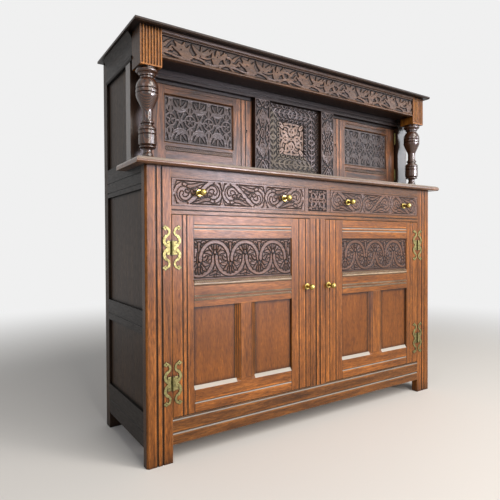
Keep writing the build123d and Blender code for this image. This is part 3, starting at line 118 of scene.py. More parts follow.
def reach_in(u, v, line, width):
    """How far inside a stroke each point lies, its distance from the middle line, and the half width there."""
    inside = np.full(u.shape, -99.0)
    off = np.full(u.shape, 99.0)
    half = np.ones(u.shape)
    for (au, av), (bu, bv), wa, wb in zip(line[:-1], line[1:], width[:-1], width[1:]):
        edge = max(wa, wb) + 2.5
        near = (u > min(au, bu) - edge) & (u < max(au, bu) + edge)
        near &= (v > min(av, bv) - edge) & (v < max(av, bv) + edge)
        here = np.nonzero(near)[0]
        if not len(here):
            continue
        du, dv = bu - au, bv - av
        pu, pv = u[here] - au, v[here] - av
        t = np.clip((pu * du + pv * dv) / (du * du + dv * dv + 1e-9), 0, 1)
        away = np.hypot(pu - t * du, pv - t * dv)
        wide = wa + (wb - wa) * t
        better = here[(wide - away) > inside[here]]
        pick = (wide - away) > inside[here]
        inside[better] = (wide - away)[pick]
        off[better] = away[pick]
        half[better] = wide[pick]
    return inside, off, half


def depth_inside(u, v, field):
    """How far inside the sunk field each point lies."""
    u0, u1, v0, v1 = field
    return np.minimum(np.minimum(u - u0, u1 - u), np.minimum(v - v0, v1 - v))


def tooling(u, v):
    """The gouge's small waves on the sunk ground."""
    return 0.3 * np.sin(u * 1.9 + 2.1 * np.sin(v * 1.3)) * np.sin(v * 2.2 + 1.7 * np.sin(u * 0.9))


def top_of(kind, inside, off, half, depth, soft):
    """How far the top of one mark lies below the board's face, and where its vein runs."""
    if kind == "strap":
        return -0.16 * depth * step_up((inside - 1.5) / 1.2), np.zeros(inside.shape)
    round_off = 1 - np.sqrt(np.clip(inside / np.minimum(half, 4.0), 0, 1))
    vein = np.exp(-(off / 0.8) ** 2) * (half > 2.6)
    return -soft * depth * round_off - 0.7 * vein, vein


def drilled(u, v, marks, height, shade):
    """Depth and painted shade once the dots are drilled, 3 mm below what is round them."""
    for kind, line, width in marks:
        if kind == "pit":
            hole = step_up((reach_in(u, v, line, width)[0] + 0.4) / 1.0)
            height = height - 3.0 * hole
            shade = np.maximum(shade, hole)
    return np.minimum(height, 0.0), np.clip(shade, 0, 1)


def carve(u, v, marks, field, depth, ground, cut, flush=0.0, soft=0.3):
    """Depth and painted shade of the cut at each point: a sunk field with the marks left standing in it.

    flush is how far the ground rises again away from the outlines, cut the width of the dark line round each mark."""
    in_field = depth_inside(u, v, field)
    strokes = [(kind, *reach_in(u, v, line, width)) for kind, line, width in marks if kind != "pit"]
    around = np.full(u.shape, -99.0)
    for kind, inside, off, half in strokes:
        around = np.maximum(around, inside)
    clear = step_up((np.minimum(-around, in_field + 1.5) - 2.0 * cut) / 1.8)
    floor = -depth * (1 - flush * clear) + tooling(u, v) * (1 - flush)
    height = floor * step_up(in_field / 1.3)
    veins = np.zeros(u.shape)
    for kind, inside, off, half in strokes:
        top, vein = top_of(kind, inside, off, half, depth, soft)
        veins = np.maximum(veins, vein * (inside >= around))
        rise = step_up((inside + 0.5) / 1.1)
        height = np.where(in_field > 0, np.maximum(height, floor + (top - floor) * rise), height)
    outline = np.exp(-((np.maximum(around, -np.abs(in_field - 0.3)) + cut) / cut) ** 2) * (in_field > -1)
    shade = ground * np.clip(-height / depth, 0, 1) + outline + 0.35 * veins
    return drilled(u, v, marks, height, shade)


def carve_laced(u, v, marks, field, depth, sink, ground, line, soft):
    """Depth and painted shade of the cut at each point: bands that pass over each other, each with its own edges.

    sink is how much of the depth the field goes down, line the half width of the V cut along the edge of each mark."""
    in_field = depth_inside(u, v, field)
    height = (-depth + tooling(u, v)) * sink * step_up(in_field / 1.3)
    drawn = np.exp(-((in_field - 0.3) / line) ** 2)
    veins = np.zeros(u.shape)
    for kind, path, width in marks:
        if kind == "pit":
            continue
        inside, off, half = reach_in(u, v, path, width)
        top, vein = top_of(kind, inside, off, half, depth, soft)
        rise = step_up((inside + 0.5) / 1.1) * (in_field > 0)
        height = height * (1 - rise) + top * rise
        cover = step_up((inside - 0.6 * line) / (0.8 * line))
        drawn = np.maximum(drawn * (1 - cover), np.exp(-((inside + 0.5 * line) / line) ** 2))
        veins = np.maximum(veins * (1 - cover), vein * cover)
    drawn = drawn * (in_field > -1)
    height = np.minimum(height, -depth * drawn)
    shade = ground * np.clip(-height / depth, 0, 1) + 0.95 * drawn + 0.35 * veins
    return drilled(u, v, marks, height, shade)


# ---------------------------------------------------------------- making a carved board
def only(piece):
    bpy.ops.object.select_all(action="DESELECT")
    piece.select_set(True)
    bpy.context.view_layer.objects.active = piece


def carved_board(name, size, spacing, cut, place, back):
    """A board whose face is a fine grid: cut(u, v) gives its depth and shade, place(u, v, height) its place."""
    bpy.ops.object.select_all(action="DESELECT")
    across = max(2, round(size[0] / (spacing * COARSE)))
    up = max(2, round(size[1] / (spacing * COARSE)))
    bpy.ops.mesh.primitive_grid_add(x_subdivisions=across, y_subdivisions=up, size=2)
    board = bpy.context.active_object
    board.name = name
    points = np.zeros(len(board.data.vertices) * 3)
    board.data.vertices.foreach_get("co", points)
    points = points.reshape(-1, 3)
    u = (points[:, 0] + 1) / 2 * size[0]
    v = (points[:, 1] + 1) / 2 * size[1]
    height, shade = cut(u, v)
    board.data.vertices.foreach_set("co", place(u, v, height).astype(np.float32).ravel())
    bpy.ops.object.mode_set(mode="EDIT")
    bpy.ops.mesh.select_all(action="SELECT")
    bpy.ops.mesh.region_to_loop()
    bpy.ops.mesh.extrude_edges_move()
    drawn = bmesh.from_edit_mesh(board.data)
    for corner in drawn.verts:
        if corner.select:
            corner.co.y = back
    bmesh.update_edit_mesh(board.data)
    bpy.ops.mesh.edge_face_add()
    bpy.ops.mesh.select_all(action="SELECT")
    bpy.ops.mesh.normals_make_consistent(inside=False)
    bpy.ops.object.mode_set(mode="OBJECT")
    sunk = np.zeros(len(board.data.vertices), np.float32)
    sunk[: len(shade)] = shade
    board.data.attributes.new("sunk", "FLOAT", "POINT").data.foreach_set("value", sunk)
    only(board)
    bpy.ops.object.shade_smooth_by_angle(angle=math.radians(60))
    return board


def flat_place(x0, z0, face):
    def place(u, v, height):
        return np.stack([x0 + u * MM, face - height * MM, z0 + v * MM], -1)
    return place


def board_for(node, design, spacing=1.25, inset=0.0, mirrored=False, tenon=0.0, cutter=carve, **cutting):
    """Carves the front of one flat board; inset is the part that runs into the grooves, tenon the part cut away."""
    low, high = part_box(node)
    low.z, high.z = low.z + tenon, high.z - tenon
    width, height = (high.x - low.x) / MM, (high.z - low.z) / MM
    hidden = inset / MM
    marks, field = design(width - 2 * hidden, height - 2 * hidden)

    def cut(u, v):
        along = (width - u if mirrored else u) - hidden
        return cutter(along, v - hidden, marks, field, **cutting)
    board = carved_board(f"{node}_carving", (width, height), spacing, cut, flat_place(low.x, low.z, low.y), high.y)
    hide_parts(node)
    return board


# ---------------------------------------------------------------- the designs
def palmette(u, v, up=1, tall=62.0):
    """Tiered leaves on a stem, rising from (u, v) or hanging from it."""
    def at(du, dv):
        return (u + du, v + up * dv * tall / 62)
    half = [
        leaf(sweep(at(0, 8), at(10, 16), at(24, 20), at(27, 6)), 6.5, 3.4),
        leaf(sweep(at(0, 25), at(12, 27), at(22, 36), at(34, 30)), 7, 2.4, 6.5),
        leaf(sweep(at(2, 34), at(10, 38), at(15, 45), at(24, 51)), 6.5, 2.6, 6),
        leaf(sweep(at(0, 36), at(6, 42), at(9, 50), at(10, 58)), 4.6, 2.4),
    ]
    whole = both(half, u)
    whole.append(leaf([at(0, -2), at(0, 12), at(0, 26)], 6, 8))
    whole.append(leaf([at(0, 30), at(0, 44), at(0, 60)], 5, 2.6))
    return whole + [pit(*at(0, 22), 2.0), pit(*at(0, 39), 2.0), pit(*at(11, 27), 1.6), pit(*at(-11, 27), 1.6)]


def lower_panel(width, height):
    """Interlaced arches, up and down, with a palmette in each."""
    middle, pitch = width / 2, 112.0
    low, high = 66.0, 62.0
    marks = []
    for n in (-1, 0, 1):
        centre = middle + n * pitch
        marks += palmette(centre, 52)
        marks.append(leaf([(centre, 8), (centre, 24), (centre, 40)], 3, 3, 8))
        marks += both([leaf([(centre, 20), (centre + 8, 17), (centre + 17, 14)], 5, 2.4)], centre)
    for n in (-1.5, -0.5, 0.5, 1.5):
        centre = middle + n * pitch
        marks.append(strap(arc(centre, low, 51, 54, 176, 364, 22), 6.4))
        marks += palmette(centre, 76, -1, 60)
        curl = [strap(scroll(centre + 15, 111, 9, 5, -120, 150, 14), 3.4)]
        marks += both(curl, centre)
        marks += both([leaf([(centre, 98), (centre + 7, 102), (centre + 14, 99)], 5, 2.2)], centre)
        marks.append(leaf([(centre, 110), (centre, 98), (centre, 84)], 5.5, 3))
    marks += [strap(arc(middle + n * pitch, high, 51, 54, -4, 184, 22), 6.4) for n in (-1, 0, 1)]
    return marks, (3, width - 3, 5, height - 5)


def drawer_section(left, right, middle):
    """An S-scroll that fills one third of a drawer front, its band running down to the right."""
    a, b = left + 33.0, right - 33.0
    lift = 4.0
    marks = [
        strap(scroll(a, middle + lift, 31, 28, 78, 270, 20), 5.6),
        strap(scroll(a, middle + lift, 28, 7, 270, 560, 24), 5.0),
        strap(sweep((a + 4, middle + 35), (a + 26, middle + 30), (b - 38, middle - 24), (b - 4, middle - 35), 16), 7.0),
        strap(scroll(b, middle - lift, 31, 28, -102, 90, 20), 5.6),
        strap(scroll(b, middle - lift, 28, 7, 90, 380, 24), 5.0),
    ]
    fronds = [
        leaf(sweep((a + 22, middle - 8), (a + 34, middle - 2), (a + 40, middle - 14), (a + 50, middle - 12)), 6, 2.4),
        leaf(sweep((a + 16, middle - 18), (a + 34, middle - 18), (a + 46, middle - 28), (a + 66, middle - 31)),
             6.2, 2.6),
        leaf(sweep((a + 26, middle - 4), (a + 30, middle + 6), (a + 34, middle + 4), (a + 38, middle - 2)), 4.6, 2),
        leaf(sweep((a + 8, middle - 4), (a + 16, middle + 2), (a + 20, middle - 6), (a + 14, middle - 10)), 4.2, 2.4),
    ]
    marks += fronds
    centre = (left + right) / 2
    marks += turned_over(turned_over(fronds, about_u=centre), about_v=middle)
    return marks


def drawer_face(width, height):
    middle = height / 2
    third = (width - 12) / 3
    marks = []
    for n in range(3):
        left = 6 + n * third
        section = drawer_section(left, left + third, middle)
        if n != 1:
            section = turned_over(section, about_u=left + third / 2)
        marks += section
        for edge in (left, left + third):
            for side in (1, -1):
                spike = [(edge, middle + side * rise) for rise in (35, 24, 13)]
                marks.append(leaf(spike, 9, 2))
    return marks, (6, width - 6, 7, height - 7)


def divider_face(width, height):
    """Four scrolls round a small flower, between plain margins."""
    centre, middle = width / 2, height / 2
    marks = []
    for side in (1, -1):
        for rise in (1, -1):
            arm = [strap(scroll(20, 17, 15, 6, -170, 150, 20), 3.8),
                   leaf(sweep((4, 4), (10, 8), (12, 14), (8, 26)), 4.6, 3),
                   leaf(sweep((26, 4), (32, 8), (38, 6), (40, 0)), 4.8, 3),
                   leaf(sweep((30, 32), (34, 26), (38, 24), (40, 32)), 4.8, 3),
                   pit(20, 17, 1.6), pit(37, 15, 1.6), pit(8, 34, 1.6), pit(31, 6, 1.4)]
            for kind, line, wide in arm:
                marks.append((kind, np.stack([centre + side * line[:, 0], middle + rise * line[:, 1]], -1), wide))
    marks.append(leaf([(centre, middle - 12), (centre, middle), (centre, middle + 12)], 1.5, 1.5, 4))
    marks.append(pit(centre, middle, 2.0))
    return marks, (centre - 44, centre + 44, 3, height - 3)


def frieze_face(width, height):
    """A running vine: broad leaf, open tulip, bell and loop, over and over."""
    pitch = 239.0
    low = 8.0
    unit = [
        strap(sweep((-32, low + 10), (10, low - 4), (30, low + 20), (52, low + 16), 14), 3.8),
        strap(sweep((52, low + 16), (80, low + 14), (100, low - 6), (132, low + 8), 14), 3.8),
        strap(sweep((132, low + 8), (160, low + 18), (180, low + 12), (207, low + 10), 14), 3.8),
        # broad leaf
        leaf(sweep((36, low + 12), (20, low + 18), (8, low + 24), (-6, low + 38)), 5, 11, 17),
        leaf(sweep((2, low + 26), (-10, low + 28), (-18, low + 28), (-27, low + 36)), 9, 3),
        leaf(sweep((0, low + 34), (-6, low + 42), (-12, low + 44), (-20, low + 51)), 9, 3),
        leaf(sweep((4, low + 34), (8, low + 42), (12, low + 46), (12, low + 53)), 9, 3.5),
        leaf(sweep((10, low + 26), (22, low + 32), (26, low + 38), (29, low + 46)), 8, 3),
        # tulip
        leaf(sweep((50, low + 16), (56, low + 22), (62, low + 26), (67, low + 29)), 5, 7),
        leaf(sweep((68, low + 28), (52, low + 33), (46, low + 44), (38, low + 53)), 8, 2.6, 7.5),
        leaf(sweep((68, low + 28), (84, low + 31), (90, low + 42), (97, low + 52)), 8, 2.6, 7.5),
        leaf(sweep((68, low + 30), (68, low + 38), (72, low + 44), (70, low + 53)), 6, 2.6),
        leaf(sweep((66, low + 24), (80, low + 20), (94, low + 20), (106, low + 27)), 5, 2.4),
        # bell
        leaf(sweep((118, low + 10), (114, low + 20), (110, low + 28), (111, low + 50)), 7, 3, 7),
        leaf(sweep((120, low + 12), (126, low + 24), (130, low + 32), (129, low + 48)), 9, 8, 11),
        leaf(sweep((130, low + 28), (142, low + 32), (150, low + 42), (162, low + 51)), 7, 2.6, 6.5),
        # loop
        strap(scroll(168, low + 30, 17, 10, 120, 470, 26), 4.6),
        leaf(sweep((186, low + 34), (192, low + 42), (198, low + 48), (208, low + 53)), 6, 2.4),
        leaf(sweep((186, low + 20), (196, low + 18), (204, low + 24), (208, low + 36)), 6, 2.6),
        leaf(sweep((150, low + 12), (144, low + 8), (138, low + 2), (126, low - 2)), 5, 2.4),
        leaf(sweep((80, low + 10), (86, low + 2), (92, low - 2), (102, low - 3)), 5, 2.4),
        leaf(sweep((14, low + 6), (6, low + 1), (-2, low - 2), (-14, low - 2)), 5, 2.4),
        leaf(sweep((172, low + 14), (180, low + 4), (188, low - 1), (196, low - 2)), 5, 2.4),
        leaf([(146, low + 40), (152, low + 46), (154, low + 54)], 6, 3), leaf([(20, low + 2), (36, low + 1)], 4.5, 3),
        leaf([(92, low + 34), (100, low + 40), (106, low + 50)], 5, 3), leaf([(-30, low + 24), (-36, low + 28)], 5, 4),
        pit(0, low + 30, 2.0), pit(168, low + 30, 2.0), pit(66, low + 24, 1.8), pit(126, low + 34, 1.8),
    ]
    marks = []
    for n in range(-1, 6):
        marks += moved(unit, 63 + n * pitch)
    return marks, (3, width - 3, 8, height - 15)


def upper_panel(width, height):
    """A row of rings with flowers, between arches above and below, all linked."""
    centre, middle, pitch = width / 2, height / 2, 70.0
    marks = []
    for n in (-1.5, -0.5, 0.5, 1.5):
        ring = centre + n * pitch
        marks.append(strap(arc(ring, middle, 18.5, 19.5, 0, 360, 30), 3.4))
        for turn in range(5):
            angle = math.radians(90 + 72 * turn)
            tip = (ring + 11 * math.cos(angle), middle + 11 * math.sin(angle))
            marks.append(leaf([(ring + 3 * math.cos(angle), middle + 3 * math.sin(angle)), tip], 3, 4.2))
        marks.append(pit(ring, middle, 1.6))
        for rise in (1, -1):
            marks.append(leaf([(ring, middle + rise * up) for up in (23, 40, 56)], 6.5, 3))
            marks += both([strap(sweep((ring + 4, middle + rise * 24), (ring + 12, middle + rise * 28),
                                       (ring + 15, middle + rise * 36), (ring + 6, middle + rise * 54)), 3.0)], ring)
    for n in (-2, -1, 0, 1, 2):
        place = centre + n * pitch
        for rise in (1, -1):
            def at(du, dv):
                return (place + du, middle + rise * dv)
            marks.append(strap(np.concatenate([sweep(at(-31, 68), at(-30, 40), at(-16, 27), at(0, 27), 10),
                                               sweep(at(0, 27), at(16, 27), at(30, 40), at(31, 68), 10)]), 4.2))
            fan = [leaf(sweep(at(0, 36), at(8, 42), at(14, 50), at(20, 61)), 5.5, 3.4),
                   leaf(sweep(at(0, 34), at(10, 36), at(18, 40), at(23, 45)), 5, 2.6)]
            marks += both(fan, place)
            marks.append(leaf([at(0, 34), at(0, 48), at(0, 65)], 5, 4))
            marks.append(pit(*at(0, 46), 1.5))
            marks += both([leaf(sweep(at(0, 2), at(5, 8), at(6, 16), at(12, 23)), 4.6, 3.4)], place)
        marks.append(strap([(place - 16, middle), (place + 16, middle)], 4.4))
    return marks, (4, width - 4, 5, height - 5)


def pilaster_face(width, height):
    """Interlaced lozenges round an oval, with small leaves between the bands."""
    centre, level = width / 2, 156.0
    edge = width / 2 - 4
    marks = [strap(arc(centre, level, 8, 17, 0, 360, 24), 2.8),
             leaf([(centre, level - 8), (centre, level + 8)], 3.2, 3.2)]
    half = []
    for rise in (1, -1):
        def at(du, dv):
            return (centre + du, level + rise * dv)
        half += [
            strap([at(0, 86), at(edge, 38)], 3.4),
            strap(sweep(at(edge, 38), at(14, 26), at(14, 18), at(edge + 2, 0)), 3.0),
            strap([at(0, 74), at(14, 50), at(5, 24)], 2.8),
            leaf(sweep(at(2, 62), at(8, 56), at(9, 48), at(5, 40)), 4.4, 2.2),
            leaf(sweep(at(edge - 2, 52), at(18, 60), at(20, 72), at(12, 80)), 4.4, 2.2),
            leaf(sweep(at(edge - 6, 20), at(16, 12), at(14, 6), at(12, 2)), 3.8, 2),
            strap([at(0, 98), at(edge, 140)], 3.2),
            leaf(sweep(at(10, 96), at(18, 92), at(24, 96), at(26, 106)), 4.4, 2.2),
            leaf(sweep(at(2, 116), at(8, 122), at(8, 132), at(4, 142)), 4.6, 2.4),
            pit(*at(18, 108), 1.4), pit(*at(10, 60), 1.2), pit(*at(22, 28), 1.3),
        ]
        marks += [leaf([at(0, 30), at(0, 46), at(0, 58)], 3.6, 2.8), pit(*at(0, 34), 1.3), pit(*at(0, 128), 1.4)]
    marks += both(half, centre)
    return marks, (4, width - 4, 5, height - 4)


def square_face(width, height):
    """Four horseshoe scrolls in a cross, with drilled dots between them."""
    centre, middle = width / 2, height / 2
    arm = [
        strap(scroll(0, 29, 13, 13, -235, 55, 22), 5.0),
        leaf(sweep((7.5, 37), (12, 44), (20, 50), (32, 47)), 5, 3.4),
        leaf(sweep((-7.5, 37), (-12, 44), (-20, 50), (-32, 47)), 5, 3.4),
        leaf([(0, 12), (0, 24), (0, 33)], 5, 4),
        leaf([(0, 44), (0, 51), (0, 59)], 5, 4),
        leaf(sweep((14, 20), (23, 24), (29, 30), (26, 42)), 6, 4.5),
        leaf([(44, 44), (52, 52), (62, 62)], 8, 9), leaf([(-34, 56), (0, 60), (34, 56)], 5, 5),
        pit(17, 17, 2.3), pit(36, 36, 2.6), pit(15, 54, 2.1), pit(-15, 54, 2.1), pit(52, 52, 2.2),
    ]
    marks = [leaf([(centre - 9, middle), (centre + 9, middle)], 6, 6), pit(centre, middle, 2.6)]
    for quarter in range(4):
        turn = math.radians(90 * quarter)
        spin = np.array([[math.cos(turn), math.sin(turn)], [-math.sin(turn), math.cos(turn)]])
        for kind, line, wide in arm:
            marks.append((kind, line @ spin + np.array([centre, middle]), wide))
    return marks, (-TONGUE / MM, width + TONGUE / MM, -TONGUE / MM, height + TONGUE / MM)


def splay_marks(length, width):
    """Paired leaves along a band, between a row of small scrolls by the carved square and one of arches outside."""
    middle = width * 0.52
    marks = [strap([(4, middle), (length / 2, middle), (length - 4, middle)], 2.6)]
    count = round(length / 22)
    for n in range(count):
        at = (n + 0.5) * length / count
        lean = 1 if at < length / 2 else -1
        for side in (1, -1):
            marks.append(leaf(sweep((at, middle), (at + lean * 4, middle + side * 8),
                                    (at + lean * 9, middle + side * 13), (at + lean * 17, middle + side * 15)),
                              3.6, 2.0, 4.6))
        marks.append(strap(arc(at, width - 1, 9, 11, 180, 360, 12), 2.4))
        marks.append(strap(scroll(at, 5, 8.0, 4, 170, -60, 12), 2.6))
        marks.append(pit(at - 1, 4.5, 1.4))
        marks.append(pit(at, width - 5, 1.4))
    return marks


# ---------------------------------------------------------------- carved boards
carvings = {}


def keep(piece, body):
    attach(piece, body)
    carvings[piece.name] = piece
    return piece


for side in ("left", "right"):
    flip = side == "right"
    keep(board_for(f"lower_{side}_carved_panel", lower_panel, 1.25, TONGUE, flip, cutter=carve_laced, depth=2.8,
                   sink=0.5, ground=0.2, line=1.4, soft=0.15), f"lower_{side}_door")
    keep(board_for(f"upper_{side}_carved_panel", upper_panel, 1.2, TONGUE, flip, depth=2.6, flush=0.5, ground=0.25,
                   cut=1.7, soft=0.12), f"upper_{side}_door")
    keep(board_for(f"{side}_drawer_front", drawer_face, 1.25, 0.0, flip, cutter=carve_laced, depth=2.2, sink=0.4,
                   ground=0.1, line=1.4, soft=0.1), f"{side}_drawer")
keep(board_for("drawer_divider", divider_face, 1.15, tenon=10.0 * MM, depth=3.0, flush=0.3, ground=0.4, cut=1.8),
     "carcase")
keep(board_for("centre_panel", square_face, 1.1, TONGUE, depth=3.2, flush=0.5, ground=0.3, cut=1.5, soft=0.1),
     "carcase")


def frieze_board():
    """Carved frieze with its lip below and its band above, in one board."""
    low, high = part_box("frieze_rail")
    face = low.y + 4.0 * MM
    width, height = (high.x - low.x) / MM, (high.z - low.z) / MM
    marks, field = frieze_face(width, height)

    def cut(u, v):
        depth, shade = carve(u, v, marks, field, depth=4.2, ground=0.38, cut=1.4, soft=0.15)
        lip = 3.0 * step_up((6.6 - v) / 0.8) * (1 - 0.5 * step_up((v - 4.2) / 2.0))
        band = 4.0 * step_up((v - (height - 12.4)) / 0.8) - 1.6 * np.exp(-((v - (height - 8.2)) / 1.1) ** 2)
        return depth + lip + np.where(v > height - 13, band, 0), shade
    piece = carved_board("frieze_carving", (width, height), 1.25, cut, flat_place(low.x, low.z, face), high.y)
    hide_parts("frieze_rail")
    return piece


keep(frieze_board(), "carcase")


def pilaster_boards():
    low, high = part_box("pilasters")
    width = 65.0
    height = (high.z - low.z) / MM
    marks, field = pilaster_face(width, height)
    made = []

    def cut(u, v):
        return carve(u, v, marks, field, depth=3.2, flush=0.3, ground=0.45, cut=1.6, soft=0.1)
    for name, x0 in (("pilaster_left", low.x), ("pilaster_right", high.x - width * MM)):
        made.append(carved_board(name, (width, height), 1.1, cut, flat_place(x0, low.z, low.y), high.y))
    for piece in made:
        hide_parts("pilasters")
    return made


for piece in pilaster_boards():
    keep(piece, "carcase")


def splayed_frame():
    """The four mitred boards that slope back to the carved square."""
    low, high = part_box("centre_frame")
    seat_low, seat_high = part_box("centre_panel")
    inner = (seat_high.x - TONGUE, (seat_high.z - seat_low.z) / 2 - TONGUE)
    level = (low.z + high.z) / 2
    outer = (high.x, (high.z - low.z) / 2)
    front, back = low.y, high.y
    deep = seat_low.y - 4.0 * MM
    centre = (seat_low.z + seat_high.z) / 2
    made = []
    corners = {"top": ((-1, 1), (1, 1)), "bottom": ((1, -1), (-1, -1)),
               "left": ((-1, -1), (-1, 1)), "right": ((1, 1), (1, -1))}
    for name, (start, end) in corners.items():
        a, b = (np.array([p[0] * outer[0], front, level + p[1] * outer[1]]) for p in (start, end))
        d, c = (np.array([p[0] * inner[0], deep, centre + p[1] * inner[1]]) for p in (start, end))
        along = np.linalg.norm(b - a) / MM
        across = np.linalg.norm((a + b) / 2 - (c + d) / 2) / MM
        normal = np.cross(b - a, (c + d) / 2 - (a + b) / 2)
        normal = normal / np.linalg.norm(normal)
        if normal[1] > 0:
            normal = -normal
        marks = splay_marks(along, across)

        def cut(u, v, marks=marks, along=along, across=across):
            slope = v / across
            shrink = 0.5 * (1 - np.linalg.norm(c - d) / MM / along) * slope
            s = u / along
            place_u = (s * (1 - 2 * shrink) + shrink) * along
            to_mitre = np.minimum(s, 1 - s) * along * (1 - 2 * shrink) * 0.8
            edge = np.minimum(to_mitre, np.minimum(v, across - v) + 1.0)
            field = (-9, along + 9, -9, across + 9)
            full, shade = carve(place_u, across - v, marks, field, depth=2.8, flush=0.3, ground=0.4, cut=1.4, soft=0.1)
            return full * step_up((edge - 1.4) / 1.2), shade * step_up((edge - 1.0) / 1.2)

        def place(u, v, height, a=a, b=b, c=c, d=d, along=along, across=across, normal=normal):
            s, t = (u / along)[:, None], (v / across)[:, None]
            spot = (a * (1 - s) + b * s) * (1 - t) + (d * (1 - s) + c * s) * t
            return spot + normal * height[:, None] * MM
        piece = carved_board(f"splay_{name}", (along, across), 1.6, cut, place, back)
        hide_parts("centre_frame")
        made.append(piece)
    return made


for piece in splayed_frame():
    keep(piece, "carcase")


def gouged_strip(name, x0, x1, z0, z1, face, pitch, fillet, body):
    """A rope of slanted gouge nicks along the top of a strip, over a plain fillet of the given height."""
    length, height = (x1 - x0) / MM, (z1 - z0) / MM
    count = round(length / pitch)

    def cut(u, v):
        place = ((u + 1.1 * v) / length * count) % 1.0
        row = step_up(np.minimum(v - fillet, height - 0.4 - v) / 1.2)
        nick = step_up((0.27 - np.abs(place - 0.5)) / 0.14) * row
        line = np.exp(-((v - fillet) / 0.9) ** 2) * (fillet > 0) + step_up((0.9 - np.minimum(v, height - v)) / 0.8)
        # painted shade in the nicks and along the fillet's edge
        return -2.0 * nick - 0.8 * np.clip(line, 0, 1), np.clip(nick + 0.8 * line, 0, 1)
    piece = carved_board(name, (length, height), 1.0, cut, flat_place(x0, z0, face - 1.0 * MM), face + 0.5 * MM)
    return keep(piece, body)


LOWER_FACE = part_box("left_drawer_front")[0].y
UPPER_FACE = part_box("upper_left_door_frame")[0].y
for side in ("left", "right"):
    panel_low, panel_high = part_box(f"lower_{side}_plain_panels")
    x = (panel_low.x + TONGUE, panel_high.x - TONGUE)
    z = panel_high.z - TONGUE
    door = f"lower_{side}_door"
    gouged_strip(f"lower_{side}_gouged_strip_lower", x[0], x[1], z + 19 * MM, z + 26 * MM, LOWER_FACE, 8.4, 0.0, door)
    gouged_strip(f"lower_{side}_gouged_strip_upper", x[0], x[1], z + 30 * MM, z + 36 * MM, LOWER_FACE, 8.4, 0.0, door)
    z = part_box(f"lower_{side}_carved_panel")[0].z + TONGUE
    gouged_strip(f"lower_{side}_gouged_sill", x[0], x[1], z - 16.0 * MM, z - 1.0 * MM, LOWER_FACE, 8.4, 7.0, door)
    panel_low, panel_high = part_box(f"upper_{side}_carved_panel")
    x = (panel_low.x + TONGUE, panel_high.x - TONGUE)
    z = panel_low.z + TONGUE
    door = f"upper_{side}_door"
    gouged_strip(f"upper_{side}_gouged_strip", x[0], x[1], z - 28.5 * MM, z - 17.5 * MM, UPPER_FACE, 8.0, 4.0, door)


# ---------------------------------------------------------------- finishes
def linear(code):
    """An sRGB hex colour as the linear values a shader takes."""
    parts = [int(code[n:n + 2], 16) / 255 for n in (1, 3, 5)]
    return [p / 12.92 if p <= 0.04045 else ((p + 0.055) / 1.055) ** 2.4 for p in parts] + [1.0]


def add(tree, kind, settings=None, **inputs):
    """One node, with its settings, its values and its links."""
    made = tree.nodes.new(kind)
    for name, value in (settings or {}).items():
        setattr(made, name, value)
    for name, value in inputs.items():
        socket = made.inputs[int(name[1:])] if name[1:].isdigit() else made.inputs[name.replace("_", " ")]
        if isinstance(value, bpy.types.NodeSocket):
            tree.links.new(value, socket)
        else:
            socket.default_value = value
    return made


def blank(name):
    made = bpy.data.materials.new(name)
    made.use_nodes = True
    made.node_tree.nodes.clear()
    return made, made.node_tree


MATH = "ShaderNodeMath"
PLUS, MINUS, TIMES = {"operation": "ADD"}, {"operation": "SUBTRACT"}, {"operation": "MULTIPLY"}
ABOVE, BELOW, LARGER = {"operation": "GREATER_THAN"}, {"operation": "LESS_THAN"}, {"operation": "MAXIMUM"}
UNSIGNED, WAVE, TO_THE = {"operation": "ABSOLUTE"}, {"operation": "SINE"}, {"operation": "POWER"}
BLEND, STAIN = {"data_type": "RGBA"}, {"data_type": "RGBA", "blend_type": "MULTIPLY"}


def inside_box(tree, place, box):
    """1 where the point lies in one of the level rails (x0, x1, z0, z1); x is taken without its sign."""
    x = add(tree, MATH, UNSIGNED, i0=place.outputs[0]).outputs[0]
    test = None
    for value, low, high in ((x, box[0], box[1]), (place.outputs[2], box[2], box[3])):
        above = add(tree, MATH, ABOVE, i0=value, i1=low).outputs[0]
        below = add(tree, MATH, BELOW, i0=value, i1=high).outputs[0]
        between = add(tree, MATH, TIMES, i0=above, i1=below).outputs[0]
        test = between if test is None else add(tree, MATH, TIMES, i0=test, i1=between).outputs[0]
    return test


def lines_at(tree, value, places, reach):
    """1 on the lines where the value is one of the places, falling to 0 at the reach."""
    mask = None
    for place in places:
        signed = add(tree, MATH, MINUS, i0=value, i1=place).outputs[0]
        off = add(tree, MATH, UNSIGNED, i0=signed).outputs[0]
        here = add(tree, "ShaderNodeMapRange", Value=off, From_Min=0.0, From_Max=reach, To_Min=1.0,
                   To_Max=0.0).outputs[0]
        mask = here if mask is None else add(tree, MATH, LARGER, i0=mask, i1=here).outputs[0]
    return mask


def line_mask(tree, parts, line, front):
    """Where one line of painted shade, dark joint or painted highlight lies, on this side of y = front; x is taken
    without its sign.
    """
    axis, places, reach, _, box = line
    across = add(tree, MATH, UNSIGNED, i0=parts.outputs[0]).outputs[0]
    mask = lines_at(tree, across if axis == "x" else parts.outputs[2], places, reach)
    if box:
        mask = add(tree, MATH, TIMES, i0=mask, i1=inside_box(tree, parts, box)).outputs[0]
    outside = add(tree, MATH, BELOW, i0=parts.outputs[1], i1=front).outputs[0]
    return add(tree, MATH, TIMES, i0=mask, i1=outside).outputs[0]


